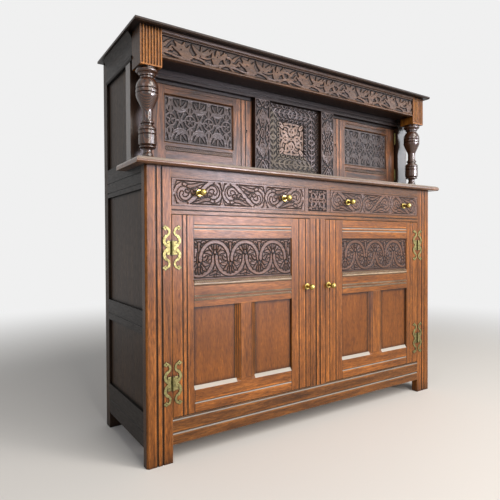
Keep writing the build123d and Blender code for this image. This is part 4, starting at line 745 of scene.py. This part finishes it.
def oak(name, light, middle, dark, run="z", rails=(), rough=0.36, sheen=0.05, sunk=None, streak=0.5, shade_and_grime=0.8,
        rub_and_highlight=0.0, dirt_and_shading=(), painted_highlights=(), front=1.0):
    """Joined oak under old wax: straight pores along the grain, warm streaks, painted shade and soiling in the corners,
    rubbed arrises with a painted highlight.

    The first list holds dark joints and painted shade in grooves, recesses and side faces, and with a negative strength
    painted highlights; the second holds painted highlights on faces that catch the light:
    (axis, places, reach, strength, box or None). They stop at y = front, so that inner faces stay plain."""
    made, tree = blank(name)
    place = add(tree, "ShaderNodeTexCoord").outputs["Object"]
    parts = add(tree, "ShaderNodeSeparateXYZ", i0=place)
    x, y, z = parts.outputs
    across, through, along = {"z": (x, y, z), "x": (z, y, x), "y": (x, z, y)}[run]
    grain = add(tree, "ShaderNodeCombineXYZ", i0=across, i1=through, i2=along).outputs[0]
    if rails:
        level = add(tree, "ShaderNodeCombineXYZ", i0=z, i1=y, i2=x).outputs[0]
        mask = None
        for box in rails:
            here = inside_box(tree, parts, box)
            mask = here if mask is None else add(tree, MATH, LARGER, i0=mask, i1=here).outputs[0]
        grain = add(tree, "ShaderNodeMix", {"data_type": "VECTOR"}, i0=mask, i4=grain, i5=level).outputs[1]
    # streaks about 14 mm wide, flecks about 3 mm by 20 mm, pores drawn 1.2 mm wide so that they show
    drawn_out = add(tree, "ShaderNodeMapping", i0=grain, i3=(1.0, 1.0, 0.09)).outputs[0]
    broad = add(tree, "ShaderNodeTexNoise", Vector=drawn_out, Scale=62.0, Detail=5.0, Roughness=0.6,
                Distortion=0.9).outputs["Fac"]
    shorter = add(tree, "ShaderNodeMapping", i0=grain, i3=(1.0, 1.0, 0.16)).outputs[0]
    fleck = add(tree, "ShaderNodeTexNoise", Vector=shorter, Scale=310.0, Detail=3.0, Roughness=0.6).outputs["Fac"]
    narrow = add(tree, "ShaderNodeMapping", i0=grain, i3=(1.0, 1.0, 0.055)).outputs[0]
    pores = add(tree, "ShaderNodeTexNoise", Vector=narrow, Scale=820.0, Detail=2.0, Roughness=0.5).outputs["Fac"]
    blotch = add(tree, "ShaderNodeTexNoise", Vector=place, Scale=5.5, Detail=3.0, Roughness=0.55).outputs["Fac"]
    tone = add(tree, "ShaderNodeValToRGB", Fac=broad)
    darkest, lightest = tone.color_ramp.elements
    darkest.position, darkest.color = 0.5 - 0.17 / streak, linear(dark)
    lightest.position, lightest.color = 0.5 + 0.15 / streak, linear(light)
    tone.color_ramp.elements.new(0.5).color = linear(middle)
    # year rings cut at a slant show as thin contour lines
    turns = add(tree, MATH, TIMES, i0=broad, i1=62.0).outputs[0]
    contour = add(tree, MATH, WAVE, i0=turns).outputs[0]
    rings = add(tree, "ShaderNodeMapRange", Value=contour, From_Min=-1.0, From_Max=1.0, To_Min=0.86,
                To_Max=1.08).outputs[0]
    lines = add(tree, "ShaderNodeMapRange", Value=fleck, From_Min=0.32, From_Max=0.68, To_Min=0.72,
                To_Max=1.24).outputs[0]
    ticks = add(tree, "ShaderNodeMapRange", Value=pores, From_Min=0.36, From_Max=0.47, To_Min=0.52,
                To_Max=1.0).outputs[0]
    patch = add(tree, "ShaderNodeMapRange", Value=blotch, From_Min=0.3, From_Max=0.7, To_Min=0.8,
                To_Max=1.16).outputs[0]
    # painted shade and soiling in the corners, 10 mm wide, and painted shade in the hollows and under overhangs, 55 mm
    # wide, both from the occlusion
    near = add(tree, "ShaderNodeAmbientOcclusion", {"samples": 6}, Distance=0.010).outputs["AO"]
    hollow_shade_and_dirt = add(tree, "ShaderNodeMapRange", Value=near, From_Min=0.45, From_Max=0.93, To_Min=1.0 - shade_and_grime,
                To_Max=1.0).outputs[0]
    far = add(tree, "ShaderNodeAmbientOcclusion", {"samples": 6}, Distance=0.055).outputs["AO"]
    wide_shade = add(tree, "ShaderNodeMapRange", Value=far, From_Min=0.4, From_Max=0.95, To_Min=1.0 - shade_and_grime * 0.6,
                To_Max=1.0).outputs[0]
    shade = lines
    for factor in (ticks, patch, rings, hollow_shade_and_dirt, wide_shade):
        shade = add(tree, MATH, TIMES, i0=shade, i1=factor).outputs[0]
    # the listed lines darken the colour (painted shade, and dark joints) or, with a negative strength, lighten it
    # (painted highlights)
    for line in dirt_and_shading:
        kept = add(tree, "ShaderNodeMapRange", Value=line_mask(tree, parts, line, front), To_Min=1.0,
                   To_Max=1.0 - line[3]).outputs[0]
        shade = add(tree, MATH, TIMES, i0=shade, i1=kept).outputs[0]
    colour = add(tree, "ShaderNodeMix", STAIN, i0=1.0, i6=tone.outputs[0], i7=shade).outputs[2]
    # painted highlights: the listed lines are mixed toward a light grey, as if they catch the light from above
    for line in painted_highlights:
        lit_line = add(tree, MATH, TIMES, i0=line_mask(tree, parts, line, front), i1=line[3]).outputs[0]
        colour = add(tree, "ShaderNodeMix", BLEND, i0=lit_line, i6=colour, i7=linear("#B2AFA6")).outputs[2]
    gloss = add(tree, "ShaderNodeMapRange", Value=fleck, From_Min=0.3, From_Max=0.7, To_Min=rough + 0.07,
                To_Max=rough - 0.05).outputs[0]
    # painted shade and soiling in the carving's cuts and outlines, as the board's shade attribute gives it
    if sunk:
        depth = add(tree, "ShaderNodeAttribute", {"attribute_name": "sunk"}).outputs["Fac"]
        cut = add(tree, "ShaderNodeMapRange", Value=depth, From_Min=0.1, From_Max=0.9).outputs[0]
        ground = add(tree, "ShaderNodeMix", STAIN, i0=1.0, i6=linear(sunk), i7=shade).outputs[2]
        colour = add(tree, "ShaderNodeMix", BLEND, i0=cut, i6=colour, i7=ground).outputs[2]
        rougher = add(tree, MATH, TIMES, i0=cut, i1=0.25).outputs[0]
        gloss = add(tree, MATH, PLUS, i0=gloss, i1=rougher).outputs[0]
    soft_edge = add(tree, "ShaderNodeBevel", {"samples": 4}, Radius=0.0018).outputs[0]
    # the open arrises are lightened: wear, and a painted highlight where the edges catch the light
    if rub_and_highlight:
        flat = add(tree, "ShaderNodeNewGeometry").outputs["Normal"]
        turn = add(tree, "ShaderNodeVectorMath", {"operation": "DOT_PRODUCT"}, i0=soft_edge, i1=flat).outputs["Value"]
        arris = add(tree, "ShaderNodeMapRange", Value=turn, From_Min=0.995, From_Max=0.90).outputs[0]
        open_air = add(tree, MATH, TO_THE, i0=near, i1=6.0).outputs[0]
        open_arris = add(tree, MATH, TIMES, i0=arris, i1=open_air).outputs[0]
        worn_and_lit = add(tree, "ShaderNodeMix", {"data_type": "RGBA", "blend_type": "SCREEN"}, i0=rub_and_highlight, i6=colour,
                   i7=linear("#9C7A55")).outputs[2]
        colour = add(tree, "ShaderNodeMix", BLEND, i0=open_arris, i6=colour, i7=worn_and_lit).outputs[2]
    both_reliefs = add(tree, MATH, PLUS, i0=ticks, i1=lines).outputs[0]
    relief = add(tree, MATH, TIMES, i0=both_reliefs, i1=0.5).outputs[0]
    bump = add(tree, "ShaderNodeBump", Strength=0.3, Distance=0.0005, Height=relief, Normal=soft_edge).outputs[0]
    surface = add(tree, "ShaderNodeBsdfPrincipled", Base_Color=colour, Roughness=gloss, Normal=bump, IOR=1.5,
                  Specular_IOR_Level=0.16, Coat_Weight=sheen, Coat_Roughness=0.24)
    add(tree, "ShaderNodeOutputMaterial", Surface=surface.outputs[0])
    return made


def turned_oak(name, light, middle, dark):
    """Turned oak, darkly polished: the year rings, about 4 mm apart, show as nested curves on the bulb."""
    made, tree = blank(name)
    place = add(tree, "ShaderNodeTexCoord").outputs["Object"]
    x, y, z = add(tree, "ShaderNodeSeparateXYZ", i0=place).outputs
    # the tree's heart lay beside the column, and leaned
    unsigned = add(tree, MATH, UNSIGNED, i0=x).outputs[0]
    heart_x = add(tree, MATH, MINUS, i0=unsigned, i1=0.520).outputs[0]
    heart_y = add(tree, MATH, MINUS, i0=y, i1=0.08).outputs[0]
    rise = add(tree, MATH, MINUS, i0=z, i1=1.03).outputs[0]
    leaning = add(tree, MATH, TIMES, i0=rise, i1=0.35).outputs[0]
    leant_x = add(tree, MATH, PLUS, i0=heart_x, i1=leaning).outputs[0]
    rings_at = add(tree, "ShaderNodeCombineXYZ", i0=leant_x, i1=heart_y).outputs[0]
    distance = add(tree, "ShaderNodeVectorMath", {"operation": "LENGTH"}, i0=rings_at).outputs["Value"]
    drift = add(tree, "ShaderNodeTexNoise", Vector=place, Scale=22.0, Detail=2.0).outputs["Fac"]
    turns = add(tree, MATH, TIMES, i0=distance, i1=1500.0).outputs[0]
    wander = add(tree, MATH, TIMES, i0=drift, i1=14.0).outputs[0]
    phase = add(tree, MATH, PLUS, i0=turns, i1=wander).outputs[0]
    rings = add(tree, MATH, WAVE, i0=phase).outputs[0]
    share = add(tree, "ShaderNodeMapRange", Value=rings, From_Min=-1.0, From_Max=1.0).outputs[0]
    tone = add(tree, "ShaderNodeValToRGB", Fac=share)
    darkest, lightest = tone.color_ramp.elements
    darkest.position, darkest.color = 0.12, linear(dark)
    lightest.position, lightest.color = 0.92, linear(light)
    tone.color_ramp.elements.new(0.5).color = linear(middle)
    # painted shade and soiling in the turned hollows, from the occlusion, 14 mm
    dirt_and_shading = add(tree, "ShaderNodeAmbientOcclusion", {"samples": 6}, Distance=0.014).outputs["AO"]
    hollow_shade_and_dirt = add(tree, "ShaderNodeMapRange", Value=dirt_and_shading, From_Min=0.3, From_Max=0.95, To_Min=0.3, To_Max=1.0).outputs[0]
    colour = add(tree, "ShaderNodeMix", STAIN, i0=1.0, i6=tone.outputs[0], i7=hollow_shade_and_dirt).outputs[2]
    bump = add(tree, "ShaderNodeBump", Strength=0.12, Distance=0.0004, Height=rings).outputs[0]
    surface = add(tree, "ShaderNodeBsdfPrincipled", Base_Color=colour, Roughness=0.26, Normal=bump, IOR=1.5,
                  Coat_Weight=0.35, Coat_Roughness=0.1)
    add(tree, "ShaderNodeOutputMaterial", Surface=surface.outputs[0])
    return made


def old_metal(name, bright, dull, rough):
    """Cast and filed metal, handled for years: bright where it is rubbed, dull brown in the rest."""
    made, tree = blank(name)
    place = add(tree, "ShaderNodeTexCoord").outputs["Object"]
    # rubbed patches about 6 mm wide, file marks drawn 1 mm wide so that they show
    rubbed = add(tree, "ShaderNodeTexNoise", Vector=place, Scale=160.0, Detail=5.0, Roughness=0.65).outputs["Fac"]
    scratch = add(tree, "ShaderNodeTexNoise", Vector=place, Scale=900.0, Detail=2.0).outputs["Fac"]
    tone = add(tree, "ShaderNodeValToRGB", Fac=rubbed)
    darkest, lightest = tone.color_ramp.elements
    darkest.position, darkest.color = 0.34, linear(dull)
    lightest.position, lightest.color = 0.62, linear(bright)
    dirt_and_shading = add(tree, "ShaderNodeAmbientOcclusion", {"samples": 6}, Distance=0.006).outputs["AO"]
    hollow_shade_and_dirt = add(tree, "ShaderNodeMapRange", Value=dirt_and_shading, From_Min=0.3, From_Max=0.9, To_Min=0.35, To_Max=1.0).outputs[0]
    colour = add(tree, "ShaderNodeMix", STAIN, i0=1.0, i6=tone.outputs[0], i7=hollow_shade_and_dirt).outputs[2]
    gloss = add(tree, "ShaderNodeMapRange", Value=rubbed, From_Min=0.3, From_Max=0.7, To_Min=rough + 0.14,
                To_Max=rough).outputs[0]
    edge = add(tree, "ShaderNodeBevel", {"samples": 4}, Radius=0.0006).outputs[0]
    bump = add(tree, "ShaderNodeBump", Strength=0.15, Distance=0.0003, Height=scratch, Normal=edge).outputs[0]
    surface = add(tree, "ShaderNodeBsdfPrincipled", Base_Color=colour, Roughness=gloss, Metallic=1.0, Normal=bump)
    add(tree, "ShaderNodeOutputMaterial", Surface=surface.outputs[0])
    return made


def rail_boxes(stage):
    """Where the level rails of one stage's doors lie, for the run of their grain."""
    low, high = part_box(f"{stage}_right_door_frame")
    panel_low, panel_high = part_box(f"{stage}_right_carved_panel")
    x = (panel_low.x + TONGUE, panel_high.x - TONGUE)
    carved = (panel_low.z + TONGUE, panel_high.z - TONGUE)
    if stage == "upper":
        return [(x[0], x[1], low.z - 1, high.z + 1)]
    plain_low, plain_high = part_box("lower_right_plain_panels")
    return [(x[0], x[1], low.z - 1, plain_low.z + TONGUE), (x[0], x[1], plain_high.z - TONGUE, carved[0]),
            (x[0], x[1], carved[1], high.z + 1)]


def grooves(axis, places, width, box=None):
    """A scratched moulding: painted shade lies in it and both its arrises get a painted highlight."""
    arrises = [place + side * (width / 2 + 4 * MM) for place in places for side in (-1, 1)]
    return [(axis, places, width / 2 + 3 * MM, 0.8, box), (axis, arrises, 3 * MM, -0.7, box)]


def panel_shade():
    """Painted shade round the edges of the plain panels, as seen inside their frames."""
    low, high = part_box("lower_right_plain_panels")
    x, z = (low.x + TONGUE, high.x - TONGUE), (low.z + TONGUE, high.z - TONGUE)
    middle = (x[0] + x[1]) / 2
    uprights = (x[0], middle - 41 * MM, middle + 41 * MM, x[1])
    return [("x", uprights, 14 * MM, 0.5, None), ("z", z, 14 * MM, 0.5, None),
            ("x", uprights, 3 * MM, 0.6, None), ("z", z[1:], 3 * MM, 0.6, None)]


def door_shading():
    """Dark joints where the rails meet the stiles, with painted shade along the edges of the panel openings; painted
    shade lines for the muntin's mouldings; and the scratched mouldings of a lower door.
    """
    low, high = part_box("lower_right_plain_panels")
    x, z = (low.x + TONGUE, high.x - TONGUE), (low.z + TONGUE, high.z - TONGUE)
    middle = (x[0] + x[1]) / 2
    door_low, door_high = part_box("lower_right_door_frame")
    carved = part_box("lower_right_carved_panel")[1].z - TONGUE
    whole = (door_low.x, x[0], door_low.z, door_high.z)
    mouldings = [middle + side * place * MM for side in (-1, 1) for place in (21, 28, 34, 40)]
    return [("x", x, 2.5 * MM, 0.8, None), ("x", mouldings, 2.6 * MM, 0.85, (x[0], x[1], z[0] - 2 * MM, z[1])),
            *grooves("x", (door_low.x + 20 * MM, door_low.x + 51 * MM), 3 * MM, whole),
            *grooves("x", (door_high.x - 33 * MM, door_high.x - 47 * MM), 3 * MM, (x[1], door_high.x, *whole[2:])),
            *grooves("z", (carved + 28 * MM, carved + 39 * MM), 3 * MM, (*x, carved + 20 * MM, door_high.z)),
            *grooves("z", (door_low.z + 30 * MM,), 3 * MM, (*x, door_low.z, door_low.z + 50 * MM))]


def door_highlights():
    """Wide sills under the plain panels and the lower lips of the level mouldings, given painted highlights as they
    catch the light from above.
    """
    low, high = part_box("lower_right_plain_panels")
    x, z = (low.x + TONGUE, high.x - TONGUE), low.z + TONGUE
    middle = (x[0] + x[1]) / 2
    door_low, door_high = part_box("lower_right_door_frame")
    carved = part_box("lower_right_carved_panel")[1].z - TONGUE
    spans = ((x[0], middle - 35 * MM), (middle + 35 * MM, x[1]))
    sills = [("z", (z,), 1.0, 0.85, (*span, z - 11 * MM, z)) for span in spans]
    lips = (carved + 26.5 * MM, carved + 37.5 * MM, door_low.z + 28.5 * MM)
    return [*sills, ("z", lips, 2.6 * MM, 0.75, (*x, door_low.z, door_high.z))]


def rail_highlights():
    """Painted highlights on the lower lips of the bottom rail's mouldings."""
    low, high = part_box("bottom_front_rail")
    return [("z", (low.z + 31 * MM, high.z - 7 * MM), 3.0 * MM, 0.6, None)]


def post_shading():
    """The scratched mouldings of the front posts and of the door muntin, and painted shade on the posts' side faces."""
    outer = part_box("front_post_right")[1].x
    return [*grooves("x", (outer - 33 * MM, outer - 50 * MM, 9.5 * MM), 5 * MM), ("x", (outer,), 2 * MM, 0.7, None)]


def upper_shading():
    """Mouldings of the lock stile, and the lock stile painted a brighter brown than the rest of the door: painted
    light.
    """
    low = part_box("upper_right_door_frame")[0]
    return [*grooves("x", (low.x + 30 * MM, low.x + 48 * MM), 3 * MM), ("x", (low.x + 42 * MM,), 60 * MM, -0.6, None)]


def rail_shading():
    """The scratched mouldings of the bottom and middle front rails, with their painted shade and highlights."""
    low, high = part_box("bottom_front_rail")
    middle_low, middle_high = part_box("middle_front_rail")
    return [*grooves("z", (low.z + 33 * MM, high.z - 5 * MM), 5 * MM),
            *grooves("z", ((middle_low.z + middle_high.z) / 2,), 3 * MM)]


FRONT = ("#9C6028", "#824C1B", "#5C3411")
finishes = {
    # quarter-sawn oak, planed and waxed: warm golden brown, its arrises rubbed light, with a painted highlight on them
    "post": oak("waxed_oak_upright", "#985D27", "#7C4819", "#55300F", streak=0.7, rub_and_highlight=0.5, dirt_and_shading=post_shading()),
    # the level front rails are painted darker than the posts: painted shade, as their lower edges lie in shadow
    "rail": oak("waxed_oak_level", "#7F4F21", "#673E17", "#46290E", run="x", streak=0.7, rub_and_highlight=0.5, dirt_and_shading=rail_shading(),
                painted_highlights=rail_highlights()),
    "door": oak("waxed_oak_door", *FRONT, rails=rail_boxes("lower"), streak=0.7, rub_and_highlight=0.5, dirt_and_shading=door_shading(),
                painted_highlights=door_highlights(), front=LOWER_FACE + 16 * MM),
    "panel": oak("waxed_oak_panel", "#90551A", "#7B4614", "#5B310D", streak=0.4, dirt_and_shading=panel_shade()),
    # the waist board's top edge gets a painted highlight
    "waist": oak("waxed_oak_waist_board", "#8C5E3C", "#65422B", "#3C2515", run="x", rough=0.3, sheen=0.4, rub_and_highlight=0.9,
                 painted_highlights=[("z", (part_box("waist_board")[1].z - 3 * MM,), 6 * MM, 0.55, None)]),
    # the set-back stage is painted darker, painted shade of the overhang; its frame and soffit nearly black, painted
    # shadow under the frieze
    "upper": oak("polished_oak_upper_door", "#7E5030", "#4F321F", "#29190F",
                 rails=rail_boxes("upper"), streak=1.0, rub_and_highlight=0.5,
                 dirt_and_shading=upper_shading()),
    "upper_rail": oak("polished_oak_upper_frame", "#321E17", "#231610", "#170E0A", run="x"),
    "upper_post": oak("polished_oak_upper_post", "#553A2A", "#3E291D", "#271A12", sheen=0.6),
    "dark_top": oak("dark_oak_top_board", "#352319", "#261812", "#18100B", run="x", rub_and_highlight=0.3),
    # sides: painted nearly black-brown, painted shade for the sides that face away from the light
    "side_panel": oak("dark_oak_side_panel", "#46331F", "#312115", "#1E140D", rough=0.46, sheen=0.0),
    "side_rail": oak("dark_oak_side_rail", "#281E16", "#1D1510", "#130E0B", run="y", rough=0.46, sheen=0.0),
    # carved oak: raised parts rubbed, the cuts left rough and painted dark, for the soiling and the shade in them
    "carved": oak("carved_oak", "#745039", "#5F3F2C", "#472F20", run="x",
                  sunk="#0F0805", rough=0.4, sheen=0.1, shade_and_grime=0.5),
    "frieze": oak("carved_oak_frieze", "#6F4E36", "#503827", "#352318", run="x",
                  sunk="#0E0705", rough=0.4, sheen=0.05, shade_and_grime=0.5),
    "carved_upright": oak("carved_oak_upright", "#5A4235", "#443026", "#302119",
                          sunk="#0D0705", rough=0.36, sheen=0.1, shade_and_grime=0.5),
    # the upper carved panels are painted darker than the lower carving: painted shade of the overhang
    "carved_upper": oak("carved_oak_upper_panel", "#45332A", "#34251F", "#241812",
                        sunk="#0A0503", rough=0.38, sheen=0.1, shade_and_grime=0.5),
    # the splay boards that face up and toward the light are painted lighter and greyer: painted light
    "splay_painted_lit": oak("carved_oak_bleached", "#7C7164", "#62574B", "#443B33",
                      sunk="#0D0705", rough=0.4, sheen=0.1, shade_and_grime=0.5),
    # the carved square is painted lighter than the rest of the carving: partly painted sheen from the light it catches
    "square": oak("carved_oak_square", "#A58B7C", "#8E7364", "#6B5344",
                  sunk="#150C09", rough=0.4, sheen=0.15, shade_and_grime=0.5),
    # the blocks' outer side faces, which face away from the light, get painted shade
    "block": oak("waxed_oak_block", "#BC7F33", "#945B22", "#4A280E", shade_and_grime=0.9,
                 dirt_and_shading=[("x", (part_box("column_blocks")[1].x,), 3 * MM, 0.85, None)]),
    # the lower gouged strips are painted light greyish for the sheen their upward-tilted faces catch; the upper strips
    # a darker grey-brown, with less of that painted sheen
    "gouged": oak("gouged_oak_strip", "#BBA98F", "#9F8A70", "#78654F", run="x", sunk="#140C08", shade_and_grime=0.5),
    "gouged_upper": oak("gouged_oak_upper_strip", "#7E6652", "#644F3F", "#46362B", run="x", sunk="#120A07", shade_and_grime=0.5),
    # inside: bare oak, never waxed
    "inner": oak("bare_oak", "#A98358", "#8C6840", "#674829", rough=0.62, sheen=0.0, shade_and_grime=0.4),
    "inner_level": oak("bare_oak_level", "#A98358", "#8C6840", "#674829", run="x", rough=0.62, sheen=0.0, shade_and_grime=0.4),
    "turned": turned_oak("polished_turned_oak", "#4C2D1A", "#392013", "#25130A"),
    # cast brass, lacquer long gone
    "brass": old_metal("aged_cast_brass", "#C2AD63", "#877640", 0.26),
    "hinge": old_metal("aged_sheet_brass", "#767048", "#4B462B", 0.4),
    # forged iron bolt
    "iron": old_metal("forged_iron", "#5A5652", "#38302A", 0.45),
}

LOOK = {
    "front_post_left": "post", "front_post_right": "post", "door_muntin": "post", "back_frame": "side_panel",
    "bottom_front_rail": "rail", "middle_front_rail": "rail", "top_front_rail": "rail", "waist_board": "waist",
    "side_rails": "side_rail", "side_panels": "side_panel", "upper_side_rails": "side_rail",
    "upper_side_panels": "side_panel", "upper_corner_posts": "upper_post", "upper_front_frame": "upper_rail",
    "column_left": "turned", "column_right": "turned", "column_blocks": "block", "soffit_board": "upper_rail",
    "top_board": "dark_top", "post_hinge_leaves": "hinge", "hinge_pins": "hinge", "lower_back_boards": "inner",
    "upper_back_boards": "inner", "cupboard_floor": "inner_level", "drawer_runners": "inner_level",
}
ENDINGS = {
    "_plain_panels": "panel", "_hinge_leaves": "hinge", "_knob": "brass", "_knobs": "brass", "_lock_case": "brass",
    "_lock_bolt": "iron", "_drawer_box": "inner_level",
}


def finish_of(name):
    if name in LOOK:
        return LOOK[name]
    if name.endswith("_door_frame"):
        return "door" if name.startswith("lower") else "upper"
    for ending, look in ENDINGS.items():
        if name.endswith(ending):
            return look
    return "carved"


def wear(piece, look):
    piece.data.materials.clear()
    piece.data.materials.append(finishes[look])


for name, piece in nodes.items():
    wear(piece, finish_of(name))
for name, piece in carvings.items():
    look = "carved"
    for beginning, special in (("pilaster", "carved_upright"), ("splay", "carved_upright"),
                               ("splay_left", "splay_painted_lit"), ("splay_bottom", "splay_painted_lit"),
                               ("upper", "carved_upper"), ("frieze", "frieze"), ("centre_panel", "square")):
        look = special if name.startswith(beginning) else look
    if "gouged" in name:
        look = "gouged_upper" if name.startswith("upper") else "gouged"
    wear(piece, look)


# ---------------------------------------------------------------- floor, light and camera
def stand():
    bpy.ops.object.select_all(action="DESELECT")
    bpy.ops.mesh.primitive_plane_add(size=40, location=(0, 0, 0))
    floor = bpy.context.active_object
    floor.name = "floor"
    made, tree = blank("pale_floor")
    surface = add(tree, "ShaderNodeBsdfPrincipled", Base_Color=linear("#DAD8D4"), Roughness=0.75)
    # away from the piece the floor runs into the pale backdrop
    place = add(tree, "ShaderNodeTexCoord").outputs["Object"]
    away = add(tree, "ShaderNodeVectorMath", {"operation": "LENGTH"}, i0=place).outputs["Value"]
    far = add(tree, "ShaderNodeMapRange", {"interpolation_type": "SMOOTHSTEP"}, Value=away, From_Min=1.2,
              From_Max=3.6).outputs[0]
    rays = add(tree, "ShaderNodeLightPath").outputs
    seen = add(tree, MATH, LARGER, i0=rays["Is Camera Ray"], i1=rays["Is Glossy Ray"]).outputs[0]
    share = add(tree, MATH, TIMES, i0=far, i1=seen).outputs[0]
    backdrop = add(tree, "ShaderNodeEmission", Color=linear("#F0F0F0"), Strength=1.0)
    both_parts = add(tree, "ShaderNodeMixShader", i0=share, i1=surface.outputs[0], i2=backdrop.outputs[0])
    add(tree, "ShaderNodeOutputMaterial", Surface=both_parts.outputs[0])
    floor.data.materials.append(made)


def lamp(name, spot, aim, size, power, tint, only_sheen=False):
    """A square window of soft light; only_sheen leaves it out of all but the shine of the polish."""
    light = bpy.data.lights.new(name, "AREA")
    light.shape, light.size, light.energy, light.color = "SQUARE", size, power, linear(tint)[:3]
    holder = bpy.data.objects.new(name, light)
    bpy.context.scene.collection.objects.link(holder)
    holder.location = spot
    holder.rotation_euler = (Vector(aim) - Vector(spot)).to_track_quat("-Z", "Y").to_euler()
    holder.visible_diffuse = not only_sheen


def surroundings():
    world = bpy.data.worlds.new("studio")
    bpy.context.scene.world = world
    world.use_nodes = True
    tree = world.node_tree
    tree.nodes.clear()
    rays = add(tree, "ShaderNodeLightPath").outputs
    seen = add(tree, MATH, LARGER, i0=rays["Is Camera Ray"], i1=rays["Is Glossy Ray"]).outputs[0]
    plain = add(tree, "ShaderNodeBackground", Color=linear("#FFFFFF"), Strength=0.29)
    white = add(tree, "ShaderNodeBackground", Color=linear("#F0F0F0"), Strength=1.0)
    both_skies = add(tree, "ShaderNodeMixShader", i0=seen, i1=plain.outputs[0], i2=white.outputs[0])
    add(tree, "ShaderNodeOutputWorld", Surface=both_skies.outputs[0])


def viewpoint():
    yaw, pitch, roll = math.radians(33.372), math.radians(-0.910), math.radians(-0.273)
    ahead = Vector((math.sin(yaw) * math.cos(pitch), math.cos(yaw) * math.cos(pitch), math.sin(pitch)))
    level = Vector((math.cos(yaw), -math.sin(yaw), 0))
    above = level.cross(ahead)
    right = math.cos(roll) * level + math.sin(roll) * above
    top = math.cos(roll) * above - math.sin(roll) * level
    lens = bpy.data.cameras.new("view")
    lens.lens, lens.sensor_width, lens.sensor_fit = 32.648, 36.0, "HORIZONTAL"
    holder = bpy.data.objects.new("view", lens)
    bpy.context.scene.collection.objects.link(holder)
    turn = Matrix((right, top, -ahead)).transposed().to_4x4()
    holder.matrix_world = Matrix.Translation((-1.10945, -1.41966, 0.64943)) @ turn
    bpy.context.scene.camera = holder


stand()
lamp("window", (-0.3, -3.4, 2.3), (-0.1, 0, 0.8), 1.5, 68, "#FFF9F2")
lamp("low_window", (1.9, -3.5, 1.3), (-0.2, 0, 0.8), 0.75, 62, "#FFF8F4")
lamp("overhead", (0.9, -2.3, 3.2), (-0.1, -0.1, 0.6), 1.5, 72, "#FFF8F0")
lamp("left_window", (-3.0, -1.5, 2.5), (-0.2, 0, 1.0), 1.4, 13, "#EEF0FF")
lamp("sheen_low", (1.45, -3.5, 1.05), (-0.3, 0, 0.75), 0.95, 210, "#F6EEFF", True)
lamp("sheen_high", (4.2, -3.5, 2.3), (0.3, 0, 1.1), 1.9, 110, "#F4F8FF", True)
surroundings()
viewpoint()
bpy.context.scene.view_settings.view_transform = "Standard"
